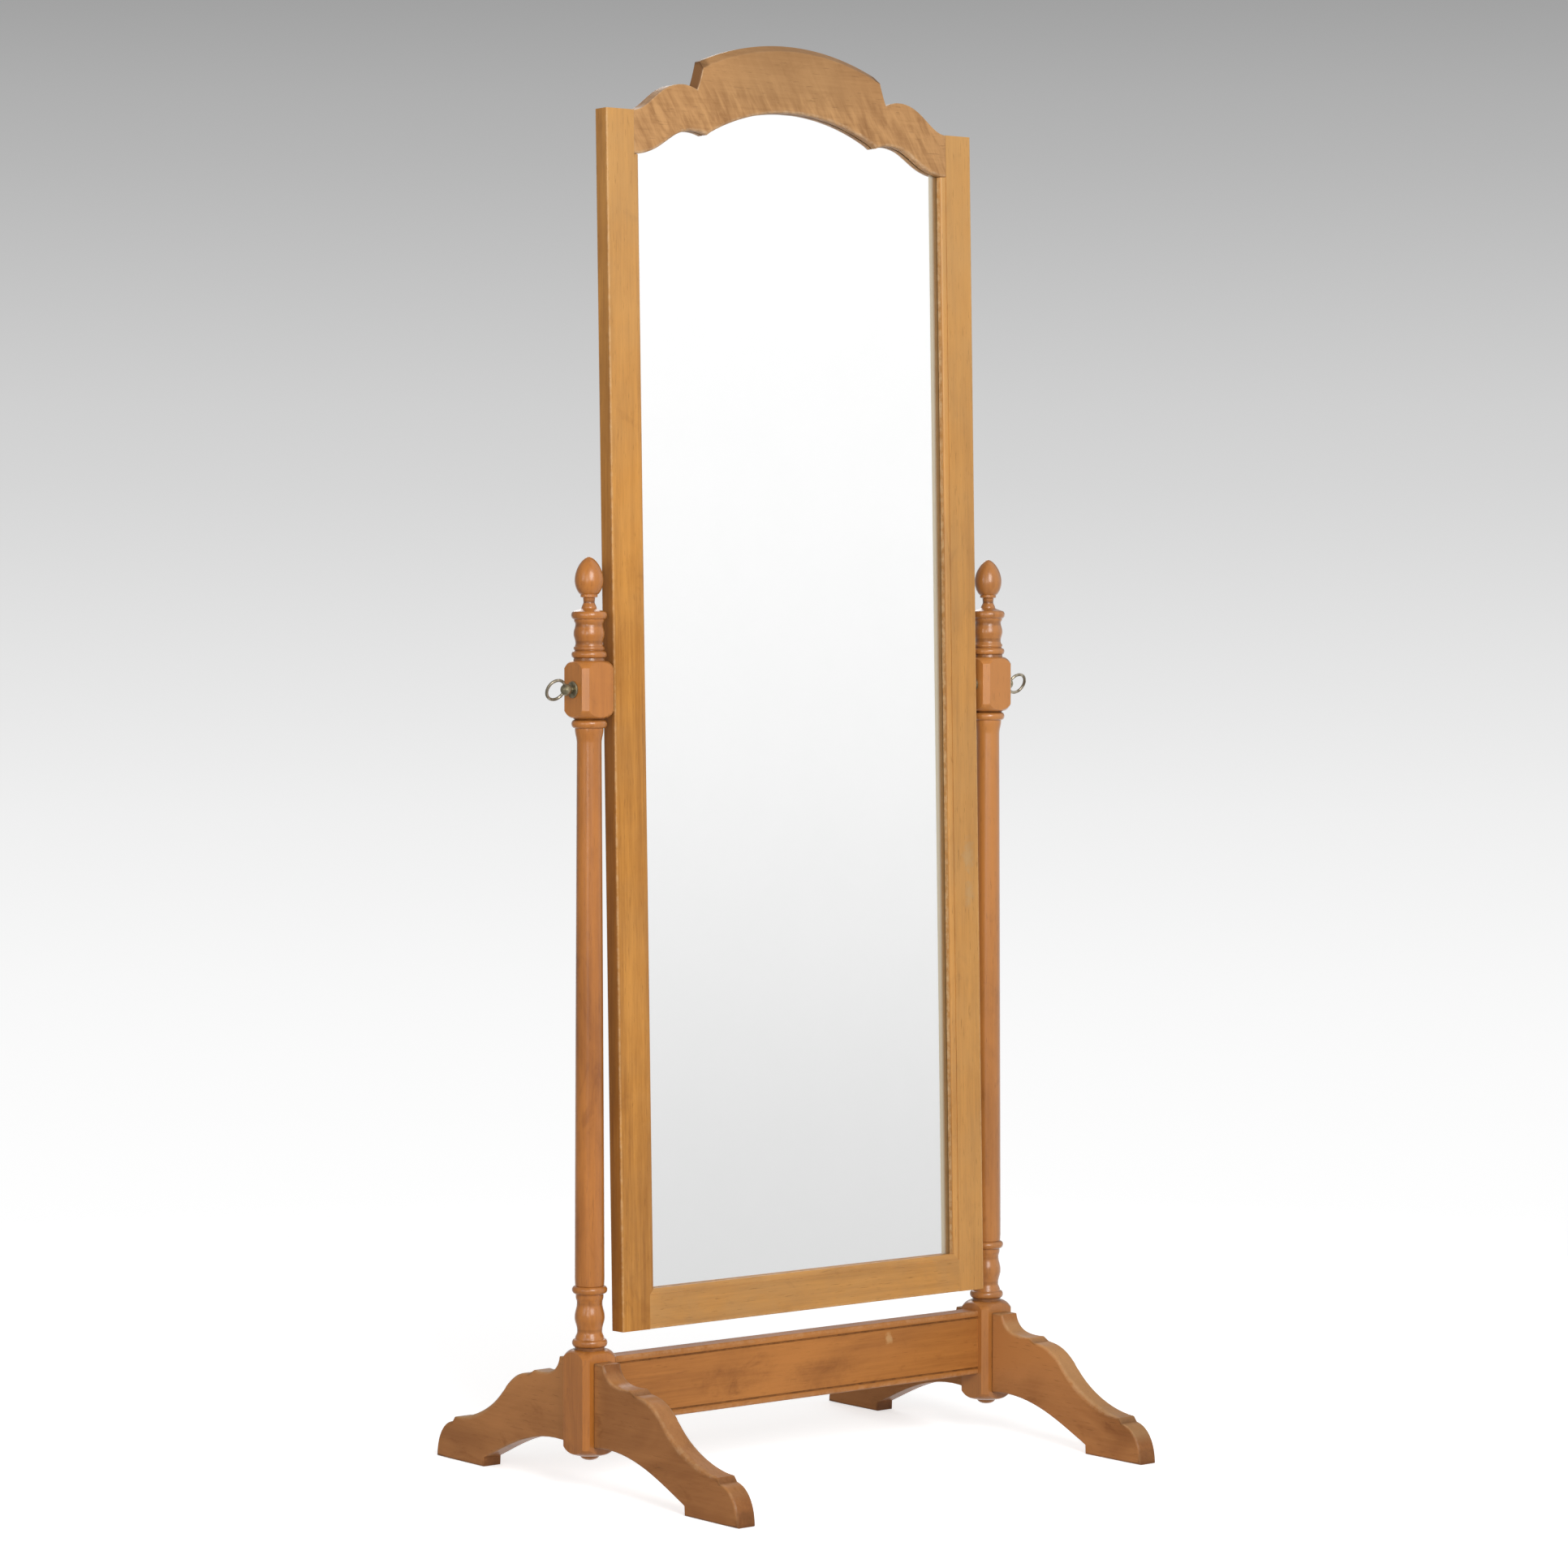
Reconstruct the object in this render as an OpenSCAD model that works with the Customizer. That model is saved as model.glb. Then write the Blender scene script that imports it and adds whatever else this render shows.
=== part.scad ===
// Cheval mirror: a framed glass that tilts between two turned posts on scrolled legs.
// Origin on the floor midway between the posts, X to the right post, Y to the back, Z up.

/* [Stand] */
// Gap between the side of the frame and the pivot block of a post
post_gap = 5; // [4.5:0.5:40]
// Gap between the bottom edge of the frame and the top of the stretcher
frame_gap = 28.5; // [25:0.5:80]
// Side of the square block at the foot of a post
base_block = 48; // [46:1:52]
// Side of the square block that holds the pivot screw
pivot_block = 45; // [42:1:48]
// Chamfer along the corners of both blocks
block_chamfer = 6; // [3:0.5:8]
// Height of the upper face of the legs at the post
leg_top = 147.5; // [144:0.5:150]
// Thickness of a leg board
leg_thickness = 25.4; // [20:0.1:30]
// How far a foot reaches from the post axis
leg_reach = 284; // [274:1:294]
// Lower edge of the stretcher above the floor
stretcher_z = 73; // [70:1:80]
// Depth of the stretcher board
stretcher_depth = 77; // [60:1:77]
// Thickness of the stretcher board
stretcher_thickness = 24; // [18:0.5:26]

/* [Mirror frame] */
// Overall width of the frame
frame_width = 545; // [500:1:620]
// Bottom edge of the frame below the tilting axis
frame_below = 727.5; // [650:0.5:830]
// Square shoulders of the frame above the tilting axis
frame_above = 654.5; // [630:0.5:656]
// Thickness of the frame
frame_thickness = 21; // [20:0.5:24]
// Width of the flat face of a stile
stile_flat = 39; // [36:0.5:42]
// Width of the flat face of the bottom rail
rail_flat = 38.5; // [36:0.5:42]
// Thickness of the crest board, flush with the front of the stiles
crest_thickness = 19; // [18.5:0.5:20]
// Height of the raised centre of the crest above the shoulders
crest_rise = 88.8; // [82:0.1:88.8]
// Backward lean of the frame's top in the drawn position
rest_tilt = 1.24; // [-10:0.01:10]

/* [Moulding] */
// Width of the moulding on the inner edges of stiles and rail
moulding_w = 7; // [5:0.5:8]
// Step at the outer side of the moulding
moulding_quirk = 0.8; // [0.4:0.1:1.2]
// Depth of the moulding's inner lip below the face
moulding_lip = 3.2; // [2:0.1:4]

/* [Glass and back] */
// Thickness of the glass
glass_thickness = 4; // [3:0.5:4.5]
// Front of the glass below the face of the frame
glass_depth = 9.2; // [8:0.1:9.5]
// How far the glass runs under the moulding
glass_cover = 5.5; // [4:0.1:6]
// Thickness of the backing sheet
sheet_thickness = 1.2; // [0.8:0.1:1.2]
// Thickness of the back panel
panel_thickness = 3.2; // [2.8:0.1:3.4]
// How far the panel runs past the edge of the glass
panel_cover = 11; // [10:0.5:12]

/* [Pivot hardware] */
// Diameter of the pivot screw
screw_d = 6; // [5:0.5:7]
// Diameter of the threaded insert in a stile
insert_d = 10; // [9:0.5:11]
// Length of the threaded insert
insert_length = 15; // [12:1:18]
// Diameter of the spacer between stile and post
spacer_d = 18; // [14:1:22]
// Diameter of the rose on the outside of a post
rose_d = 19; // [16:0.5:24]
// Thickness of the rose
rose_thickness = 2; // [1.5:0.1:2.2]
// Diameter of the ball of the thumbscrew
ball_d = 13.5; // [12:0.5:14]
// Centre of the ball from the outer face of the block
ball_out = 9.4; // [9.2:0.1:10]
// Radius of the finger ring to the middle of its wire
ring_r = 12; // [11:0.5:13]
// Thickness of the ring's wire
ring_wire = 3.5; // [3:0.1:4]
// Lean of the ring's top towards the front
ring_lean = 26; // [0:1:60]

/* [Fits] */
// Diameter of all dowels
dowel_d = 8; // [6:0.5:8]
// Clearance round a glued dowel or a pressed insert
dowel_clear = 0.05; // [0.02:0.01:0.1]
// Clearance of the screw's thread in the insert
thread_clear = 0.05; // [0.02:0.01:0.08]
// Clearance of the screw in the post and in the rose
screw_clear = 0.08; // [0.05:0.01:0.1]
// Gap between pieces that move past each other
run_gap = 0.3; // [0.3:0.05:0.5]
// Gap round the glass, the sheet and the panel in their rebates
rebate_gap = 0.5; // [0.3:0.1:0.6]

/* [Hidden] */

$fn = 72;

// Stand
toe_height = 44;
leg_under = 51;
post_spacing = frame_width + 2 * post_gap + pivot_block;
pivot_z = stretcher_z + stretcher_depth + frame_gap + frame_below;
post_x = post_spacing / 2;
base_half = base_block / 2;
pivot_half = pivot_block / 2;
base_bottom = 40.5;
base_top = 160;
pivot_rise = 32.5;
pivot_bottom = pivot_z - pivot_rise;
pivot_top = pivot_z + pivot_rise;
neck_r = 17;
drop_r = 11;
drop_height = 5.5;
pivot_neck_r = 17.8;
base_shoulder = 25;
pivot_shoulder = 28;
bead_r = 20.1;

// Frame, heights measured from the tilting axis
frame_half = frame_width / 2;
face_y = -frame_thickness / 2;
joint_x = frame_half - stile_flat;
sight_x = joint_x - moulding_w;
rail_joint_z = -frame_below + rail_flat;
sight_z = rail_joint_z + moulding_w;
glass_y = face_y + glass_depth;
sheet_y = glass_y + glass_thickness + 0.1;
panel_y = sheet_y + sheet_thickness + 0.1;
panel_back_y = panel_y + panel_thickness;
crest_back_y = face_y + crest_thickness;

// Crest outline, heights measured from the shoulders
crest_end_drop = 50;
crest_arch_rise = 10.5;
crest_arch_r = 269.5;
cusp_x = 127;
under_lobe_x = 147;
under_lobe_r = 58;
under_lobe_top = -18.5;
under_slope = 32.2;
under_cove_r = 83;
lobe_height = 33.5;
lobe_dip = 4.5;
corner_x = 130.5;
corner_drop = 26.2;
top_r = (corner_x ^ 2 + corner_drop ^ 2) / (2 * corner_drop);
bevel_height = 7;
bevel_in = 9.5;
bevel_trim = 3;

// Glass outline
glass_half = sight_x + glass_cover;
glass_bottom = sight_z - glass_cover;
glass_apex = frame_above + 16;
glass_sagitta = 55;
glass_r = (glass_half ^ 2 + glass_sagitta ^ 2) / (2 * glass_sagitta);
panel_screw_in = panel_cover / 2;
panel_screw_d = 3;
panel_screw_head = 6;
panel_screw_length = 12;

// Joints
leg_dowel_z = [72, 128];
stretcher_dowel_in = 17;
stretcher_dowel_z = [stretcher_z + stretcher_dowel_in,
                     stretcher_z + stretcher_depth - stretcher_dowel_in];
dowel_in_block = 15;
dowel_in_board = 22;
crest_dowel_z = [frame_above - 7.5, frame_above - 20];
rail_dowel_z = [-frame_below + 8, -frame_below + 21];
dowel_in_rail = 16;
dowel_in_stile = 22;

// Pivot line, distances from the middle plane along X
post_inner = post_x - pivot_half;
post_outer = post_x + pivot_half;
spacer_end = post_inner - run_gap;
rose_start = post_outer + run_gap;
rose_end = rose_start + rose_thickness;
screw_start = frame_half - insert_length + 1;
neck_start = rose_end + run_gap;
ball_x = post_outer + ball_out;
ring_x = ball_x + ball_d / 2 - ring_wire + ring_r - 0.6;

wood_post = [0.70, 0.44, 0.24];
wood_leg = [0.60, 0.38, 0.21];
wood_frame = [0.80, 0.58, 0.34];
wood_crest = [0.76, 0.52, 0.30];
old_brass = [0.46, 0.40, 0.26];

// Curves

// Points of a cubic curve, the first point left out
function curve(p, q, r, s, n) =
  [for (i = [1:n]) let (t = i / n, u = 1 - t)
    u ^ 3 * p + 3 * u ^ 2 * t * q + 3 * u * t ^ 2 * r + t ^ 3 * s];

// Points of a circular arc
function arc(cx, cy, r, from, to, n) =
  [for (i = [0:n]) let (a = from + (to - from) * i / n) [cx + r * cos(a), cy + r * sin(a)]];

// The same points on the other side of the middle line, in reverse order
function mirrored(list) = [for (i = [len(list) - 1:-1:0]) [-list[i][0], list[i][1]]];

// A half-round turned ring between two heights
function bead(core, outer, z0, z1, n = 8) =
  [for (i = [0:n]) let (a = 180 * i / n)
    [core + (outer - core) * sin(a), (z0 + z1) / 2 - (z1 - z0) / 2 * cos(a)]];

// A turned slope that leaves and arrives parallel to the axis
function ease(r0, z0, r1, z1, n = 6) =
  [for (i = [0:n]) let (t = i / n)
    [r0 + (r1 - r0) * (1 - cos(180 * t)) / 2, z0 + (z1 - z0) * t]];

// Stand

// Foot of the post up to the long shaft
foot_outline = concat(
  [for (i = [0:8]) let (a = 90 * i / 8)
    [drop_r * sin(a), base_bottom - 1.5 - drop_height * cos(a)]],
  [[neck_r - 0.5, base_bottom], [neck_r, base_bottom + 0.6], [neck_r, base_top]],
  bead(neck_r, bead_r, base_top + 3, base_top + 11.5),
  ease(16.6, base_top + 12, 14.2, base_top + 20, 4),
  ease(14.3, base_top + 21.5, 17.1, base_top + 36),
  ease(17.0, base_top + 37.5, 14.5, base_top + 52),
  ease(14.6, base_top + 54, 15.8, base_top + 59, 3),
  [[15.8, base_top + 62]],
  bead(15.8, bead_r, base_top + 63, base_top + 72),
  [[16.5, base_top + 72.5]]);

// Long shaft with a slight swelling, then the ring under the pivot block
shaft_start = base_top + 80;
shaft_end = pivot_z - 71;
shaft_outline = concat(
  [for (i = [0:8]) let (t = i / 8)
    [16.9 - 2.9 * t ^ 1.15, shaft_start + (shaft_end - shaft_start) * t]],
  ease(14.0, pivot_z - 60, 16.2, pivot_z - 44.5, 5),
  bead(16.2, bead_r, pivot_z - 43.5, pivot_z - 34),
  [[pivot_neck_r, pivot_bottom], [pivot_neck_r, pivot_top]]);

// Rings, bulb and finial above the pivot block
finial_z = pivot_z + 123;
finial_outline = concat(
  bead(17.2, 19.9, pivot_z + 35.5, pivot_z + 43),
  [[17.2, pivot_z + 44.7]],
  ease(16.9, pivot_z + 46, 15.3, pivot_z + 51, 4),
  ease(15.4, pivot_z + 52, 17.5, pivot_z + 62.5, 5),
  ease(17.4, pivot_z + 63.5, 15.5, pivot_z + 73, 5),
  [[15.6, pivot_z + 74.5], [17.0, pivot_z + 77], [17.0, pivot_z + 78.5]],
  bead(17.0, bead_r, pivot_z + 79, pivot_z + 88),
  [[12.0, pivot_z + 89.7], [9.7, pivot_z + 90.5]],
  ease(8.6, pivot_z + 91.5, 6.3, pivot_z + 98.5, 5),
  [[6.8, pivot_z + 103], [9.6, pivot_z + 104], [9.6, pivot_z + 107]],
  [for (i = [-6:0]) let (h = 15.5 * i / 6)
    [16.2 * sqrt(1 - (h / 20.6) ^ 2), finial_z + h]],
  [for (i = [1:9]) let (h = 26.5 * (1 - (1 - i / 9) ^ 1.5))
    [16.2 * (1 - (h / 26.5) ^ 1.8) ^ 0.62, finial_z + h]]);

// Square block with its corners chamfered and its ends turned to a shoulder
module turned_block(side, bottom, top, end_r, shoulder) {
  half = side / 2;
  corner_r = half * sqrt(2);
  reach = corner_r - end_r;
  intersection() {
    translate([0, 0, bottom])
      linear_extrude(top - bottom)
        polygon([for (k = [0:3]) each [
          let (a = 90 * k) [half * cos(a) - (half - block_chamfer) * sin(a),
                            half * sin(a) + (half - block_chamfer) * cos(a)],
          let (a = 90 * k) [(half - block_chamfer) * cos(a) - half * sin(a),
                            (half - block_chamfer) * sin(a) + half * cos(a)]]]);
    rotate_extrude()
      polygon(concat(
        [[0, bottom]],
        [for (i = [0:11]) let (a = 90 * i / 11)
          [end_r + reach * sin(a), bottom + shoulder * (1 - cos(a))]],
        [for (i = [0:11]) let (a = 90 * i / 11)
          [end_r + reach * cos(a), top - shoulder * (1 - sin(a))]],
        [[0, top]]));
  }
}

// Post on its own axis, the mirror on its positive X side
module post_blank() {
  rotate_extrude()
    polygon(concat(foot_outline, shaft_outline, finial_outline));
  turned_block(base_block, base_bottom, base_top, neck_r, base_shoulder);
  turned_block(pivot_block, pivot_bottom, pivot_top, pivot_neck_r, pivot_shoulder);
}

module post() {
  difference() {
    post_blank();
    translate([-pivot_block, 0, pivot_z])
      rotate([0, 90, 0])
        cylinder(h = 2 * pivot_block, r = screw_d / 2 + screw_clear);
    for (s = [-1, 1], z = leg_dowel_z)
      translate([0, s * (base_half - dowel_in_block - 0.5), z])
        rotate([-90 * s, 0, 0])
          cylinder(h = base_block, d = dowel_d + 2 * dowel_clear);
    for (z = stretcher_dowel_z)
      translate([base_half - dowel_in_block - 0.5, 0, z])
        rotate([0, 90, 0])
          cylinder(h = base_block, d = dowel_d + 2 * dowel_clear);
  }
}

module left_post() color(wood_post) translate([-post_x, 0, 0]) post();
module right_post() color(wood_post) translate([post_x, 0, 0]) mirror([1, 0, 0]) post();

// Side outline of a leg: distance from the post axis, height
leg_start = base_half + 17.5;
leg_step = [base_half + 75, leg_top - 27];
leg_riser = [-8, 5];
leg_middle = [leg_step[0] + 50, leg_top - 50.5];
toe_start = [leg_reach - 36, toe_height + 6.5];
heel = [leg_reach - 94.5, 10.5];
leg_outline = concat(
  [[base_half, leg_top], [leg_start, leg_top]],
  curve([leg_start, leg_top], [leg_start + 5, leg_top - 17.5],
        [leg_start + 18.5, leg_top - 23.5], leg_step + leg_riser, 8),
  [leg_step],
  curve(leg_step, leg_step + [25, 0], leg_middle + [-12, 13], leg_middle, 6),
  curve(leg_middle, leg_middle + [22, -22.5], toe_start + [-43, 4.5], toe_start, 8),
  [[leg_reach - 31.5, toe_height + 0.5]],
  curve([leg_reach - 31.5, toe_height + 0.5], [leg_reach - 13, toe_height - 1.5],
        [leg_reach, 25], [leg_reach, 0], 8),
  [[heel[0] + 0.5, 0], heel],
  curve(heel, heel + [-37, 15], [base_half + 71, leg_under + 10],
        [base_half, leg_under], 10));

// Leg that reaches along positive Y from a post on the Z axis
module leg() {
  difference() {
    translate([-leg_thickness / 2, 0, 0])
      rotate([90, 0, 90])
        linear_extrude(leg_thickness)
          polygon(leg_outline);
    for (z = leg_dowel_z)
      translate([0, base_half - 1, z])
        rotate([-90, 0, 0])
          cylinder(h = dowel_in_board + 1.5, d = dowel_d + 2 * dowel_clear);
  }
}

module placed_leg(side, turn) {
  color(wood_leg)
    translate([side * post_x, 0, 0])
      rotate([0, 0, turn])
        leg();
}

module front_left_leg() placed_leg(-1, 180);
module rear_left_leg() placed_leg(-1, 0);
module front_right_leg() placed_leg(1, 180);
module rear_right_leg() placed_leg(1, 0);

stretcher_round = 2.5;
groove_in = 8;
groove_r = 0.9;

module stretcher() {
  span = post_spacing - base_block;
  half = stretcher_thickness / 2;
  r = stretcher_round;
  color(wood_leg)
    difference() {
      translate([-span / 2, 0, stretcher_z])
        rotate([90, 0, 90])
          linear_extrude(span)
            polygon(concat(
              arc(half - r, r, r, -90, 0, 5),
              arc(half - r, stretcher_depth - r, r, 0, 90, 5),
              arc(r - half, stretcher_depth - r, r, 90, 180, 5),
              arc(r - half, r, r, 180, 270, 5)));
      for (z = [groove_in, stretcher_depth - groove_in])
        translate([-span / 2 - 1, -half, stretcher_z + z])
          rotate([0, 90, 0])
            cylinder(h = span + 2, r = groove_r, $fn = 24);
      for (s = [-1, 1], z = stretcher_dowel_z)
        translate([s * span / 2, 0, z])
          rotate([0, 90, 0])
            cylinder(h = 2 * dowel_in_board + 1, d = dowel_d + 2 * dowel_clear, center = true);
    }
}

module leg_dowels() {
  length = dowel_in_block + dowel_in_board;
  color(wood_leg)
    for (x = [-post_x, post_x], s = [-1, 1], z = leg_dowel_z)
      translate([x, s * (base_half - dowel_in_block), z])
        rotate([-90 * s, 0, 0])
          cylinder(h = length, d = dowel_d, $fn = 32);
}

module stretcher_dowels() {
  length = dowel_in_block + dowel_in_board;
  color(wood_leg)
    for (s = [-1, 1], z = stretcher_dowel_z)
      translate([s * (post_x - base_half + dowel_in_block), 0, z])
        rotate([0, -90 * s, 0])
          cylinder(h = length, d = dowel_d, $fn = 32);
}

// Mirror frame

// Places a piece drawn round the tilting axis
module in_frame() {
  translate([0, 0, pivot_z])
    rotate([-rest_tilt, 0, 0])
      children();
}

// Moulding from the flat edge to the lip: distance inward, depth below the face
moulding = concat(
  [[0, 0]],
  [for (i = [0:8]) let (a = 90 * i / 8)
    [moulding_w * sin(a), moulding_quirk + (moulding_lip - moulding_quirk) * (1 - cos(a))]]);

// Outline of the glass and of the pockets behind it
module pocket_outline(grow) {
  centre_z = glass_apex - glass_r;
  half = glass_half + grow;
  intersection() {
    translate([0, centre_z])
      circle(r = glass_r + grow, $fn = 240);
    translate([-half, centre_z - 1])
      square([2 * half, glass_r + grow + 2]);
  }
  translate([-half, glass_bottom - grow])
    square([2 * half, centre_z - glass_bottom + grow]);
}

// A slab of the pocket outline between two depths
module pocket_slab(grow, y0, y1) {
  translate([0, y1, 0])
    rotate([90, 0, 0])
      linear_extrude(y1 - y0)
        pocket_outline(grow);
}

// Room for the glass, the sheet and the panel, open at the back
module rebates() {
  pocket_slab(rebate_gap, glass_y, frame_thickness);
  pocket_slab(panel_cover + rebate_gap, panel_y, frame_thickness);
}

// Places of the panel screws along the rim of the panel
screw_x = glass_half + panel_screw_in;
screw_z = glass_bottom - panel_screw_in;
screw_low = glass_bottom + 88;
screw_high = frame_above - 80;
screw_row = 0.65 * glass_half;
screw_places = concat(
  [for (s = [-1, 1], i = [0:5]) [s * screw_x, screw_low + (screw_high - screw_low) * i / 5]],
  [for (x = [-screw_row, 0, screw_row]) [x, screw_z]],
  [for (x = [-screw_row, 0, screw_row])
    [x, glass_apex - glass_r + sqrt((glass_r + panel_screw_in) ^ 2 - x ^ 2)]]);

module screw_holes() {
  for (p = screw_places)
    translate([p[0], panel_back_y + 1, p[1]])
      rotate([90, 0, 0])
        cylinder(h = panel_screw_length + 1.5, d = panel_screw_d + 2 * dowel_clear, $fn = 24);
}

module crest_dowel_holes(s) {
  for (z = crest_dowel_z)
    translate([s * joint_x, face_y + 9, z])
      rotate([0, 90, 0])
        cylinder(h = 2 * dowel_in_stile + 1, d = dowel_d + 2 * dowel_clear, center = true);
}

module rail_dowel_holes(s) {
  for (z = rail_dowel_z)
    translate([s * joint_x, face_y + 9, z])
      rotate([0, 90, 0])
        cylinder(h = 2 * dowel_in_stile + 1, d = dowel_d + 2 * dowel_clear, center = true);
}

// Everything outside the mitre of stile and rail at the lower corners
module mitre_wedge() {
  run = moulding_w + 1;
  translate([0, frame_thickness, 0])
    rotate([90, 0, 0])
      linear_extrude(2 * frame_thickness)
        polygon([[joint_x, rail_joint_z], [joint_x, -frame_below - 1],
                 [joint_x - run, -frame_below - 1], [joint_x - run, rail_joint_z + run]]);
}

// Right-hand stile round the tilting axis
module stile() {
  difference() {
    translate([0, 0, -frame_below])
      linear_extrude(frame_below + frame_above)
        polygon(concat(
          [for (m = moulding) [joint_x - m[0], face_y + m[1]]],
          [[sight_x, -face_y], [frame_half, -face_y], [frame_half, face_y]]));
    mitre_wedge();
    translate([sight_x - 1, -frame_thickness, frame_above - crest_end_drop])
      cube([joint_x - sight_x + 1, 2 * frame_thickness, crest_end_drop + 1]);
    rebates();
    screw_holes();
    crest_dowel_holes(1);
    rail_dowel_holes(1);
    translate([frame_half - insert_length, 0, 0])
      rotate([0, 90, 0])
        cylinder(h = insert_length + 1, d = insert_d + 2 * dowel_clear);
  }
}

module left_stile() color(wood_frame) in_frame() mirror([1, 0, 0]) stile();
module right_stile() color(wood_frame) in_frame() stile();

module bottom_rail() {
  color(wood_crest)
    in_frame()
      difference() {
        translate([-joint_x, 0, 0])
          rotate([90, 0, 90])
            linear_extrude(2 * joint_x)
              polygon(concat(
                [for (m = moulding) [face_y + m[1], rail_joint_z + m[0]]],
                [[-face_y, sight_z], [-face_y, -frame_below], [face_y, -frame_below]]));
        for (s = [0, 1])
          mirror([s, 0, 0])
            translate([0, frame_thickness, 0])
              rotate([90, 0, 0])
                linear_extrude(2 * frame_thickness)
                  polygon([[joint_x, rail_joint_z], [joint_x + 1, rail_joint_z],
                           [joint_x + 1, sight_z + 2], [joint_x - moulding_w - 2, sight_z + 2]]);
        rebates();
        screw_holes();
        rail_dowel_holes(-1);
        rail_dowel_holes(1);
      }
}

// Right half of the crest's upper edge, from the middle to the shoulder; the raised centre is
// drawn higher than it ends up and trimmed together with its bevel
top_centre = crest_rise - top_r;
top_angle = asin(corner_x / top_r);
crest_upper = concat(
  arc(0, frame_above + top_centre, top_r + bevel_trim, 90 - top_angle / 8, 90 - top_angle, 7),
  curve([corner_x, frame_above + crest_rise - corner_drop],
        [corner_x + 2.5, frame_above + 52.5],
        [137, frame_above + 38.5], [141.5, frame_above + lobe_height - lobe_dip], 4),
  curve([141.5, frame_above + lobe_height - lobe_dip], [147, frame_above + lobe_height - 2.7],
        [153, frame_above + lobe_height], [162, frame_above + lobe_height], 4),
  curve([162, frame_above + lobe_height], [197, frame_above + lobe_height],
        [210, frame_above + 1], [joint_x, frame_above], 8));

// Right half of the under-edge, from the joint to the middle
lobe_z = frame_above + under_lobe_top - under_lobe_r;
slope_x = under_lobe_x + under_lobe_r * sin(under_slope);
slope_z = lobe_z + under_lobe_r * cos(under_slope);
cove_top_z = frame_above - crest_end_drop + under_cove_r * (1 - cos(under_slope));
cove_x = slope_x + (slope_z - cove_top_z) / tan(under_slope) + under_cove_r * sin(under_slope);
cove_end = min(joint_x, cove_x);
arch_z = frame_above + crest_arch_rise - crest_arch_r;
cusp_angle = acos((under_lobe_x - cusp_x) / under_lobe_r);
crest_lower = concat(
  arc(cove_x, frame_above - crest_end_drop + under_cove_r, under_cove_r,
      270 - asin((cove_x - cove_end) / under_cove_r), 270 - under_slope, 7),
  arc(under_lobe_x, lobe_z, under_lobe_r, 90 - under_slope, 180 - cusp_angle, 9),
  arc(0, arch_z, crest_arch_r, acos(cusp_x / crest_arch_r), 87, 9));

module crest_rail() {
  slope = bevel_height / bevel_in;
  color(wood_crest)
    in_frame()
      difference() {
        translate([0, crest_back_y, 0])
          rotate([90, 0, 0])
            linear_extrude(crest_thickness)
              polygon(concat(mirrored(crest_upper), crest_upper,
                             crest_lower, mirrored(crest_lower)));
        difference() {
          translate([-corner_x - 11.5, face_y - 1, frame_above + 42])
            cube([2 * corner_x + 23, crest_thickness + 2, crest_rise]);
          translate([0, face_y, frame_above + top_centre])
            rotate([-90, 0, 0])
              rotate_extrude($fn = 240)
                polygon([[0, -2], [top_r - bevel_height - 2 * slope, -2], [top_r, bevel_in],
                         [top_r, crest_thickness + 2], [0, crest_thickness + 2]]);
        }
        rebates();
        screw_holes();
        crest_dowel_holes(-1);
        crest_dowel_holes(1);
      }
}

module frame_dowels() {
  color(wood_frame)
    in_frame()
      for (s = [-1, 1], z = concat(crest_dowel_z, rail_dowel_z))
        translate([s * (joint_x + (dowel_in_stile - dowel_in_rail) / 2), face_y + 9, z])
          rotate([0, 90, 0])
            cylinder(h = dowel_in_stile + dowel_in_rail, d = dowel_d, center = true, $fn = 32);
}

// Glass and back

module mirror_glass() color([0.86, 0.88, 0.88]) in_frame()
  pocket_slab(0, glass_y, glass_y + glass_thickness);

module backing_sheet() color([0.55, 0.45, 0.33]) in_frame()
  pocket_slab(0, sheet_y, sheet_y + sheet_thickness);

module back_panel() {
  color([0.66, 0.52, 0.35])
    in_frame()
      difference() {
        pocket_slab(panel_cover, panel_y, panel_back_y);
        screw_holes();
        for (p = screw_places)
          translate([p[0], panel_back_y - 1.5, p[1]])
            rotate([-90, 0, 0])
              cylinder(h = 1.6, d1 = panel_screw_d + 2 * dowel_clear,
                       d2 = panel_screw_head + 2 * dowel_clear + 0.2, $fn = 24);
      }
}

module panel_screws() {
  color(old_brass)
    in_frame()
      for (p = screw_places)
        translate([p[0], panel_back_y, p[1]])
          rotate([90, 0, 0])
            difference() {
              union() {
                cylinder(h = 1.5, d1 = panel_screw_head, d2 = panel_screw_d, $fn = 24);
                cylinder(h = panel_screw_length - 2, d = panel_screw_d, $fn = 24);
                translate([0, 0, panel_screw_length - 2])
                  cylinder(h = 2, d1 = panel_screw_d, d2 = 0.6, $fn = 24);
              }
              translate([-panel_screw_head, -0.4, -1])
                cube([2 * panel_screw_head, 0.8, 1.6]);
            }
}

// Pivot hardware, drawn on the right-hand side

// A turned piece round the tilting axis: polygon of distance from the middle plane, radius
module on_pivot(outline) {
  translate([0, 0, pivot_z])
    rotate([0, 90, 0])
      rotate_extrude($fn = 48)
        polygon([for (p = outline) [p[1], p[0]]]);
}

insert_bore = screw_d / 2 + thread_clear;
screw_hole = screw_d / 2 + screw_clear;

module pivot_insert() {
  color(old_brass)
    on_pivot([[frame_half - insert_length, insert_bore], [frame_half - insert_length, insert_d / 2],
              [frame_half, insert_d / 2], [frame_half, insert_bore]]);
}

module spacer() {
  color(old_brass)
    on_pivot([[frame_half, screw_hole], [frame_half, spacer_d / 2],
              [spacer_end - 1, spacer_d / 2], [spacer_end, spacer_d / 2 - 1],
              [spacer_end, screw_hole]]);
}

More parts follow.
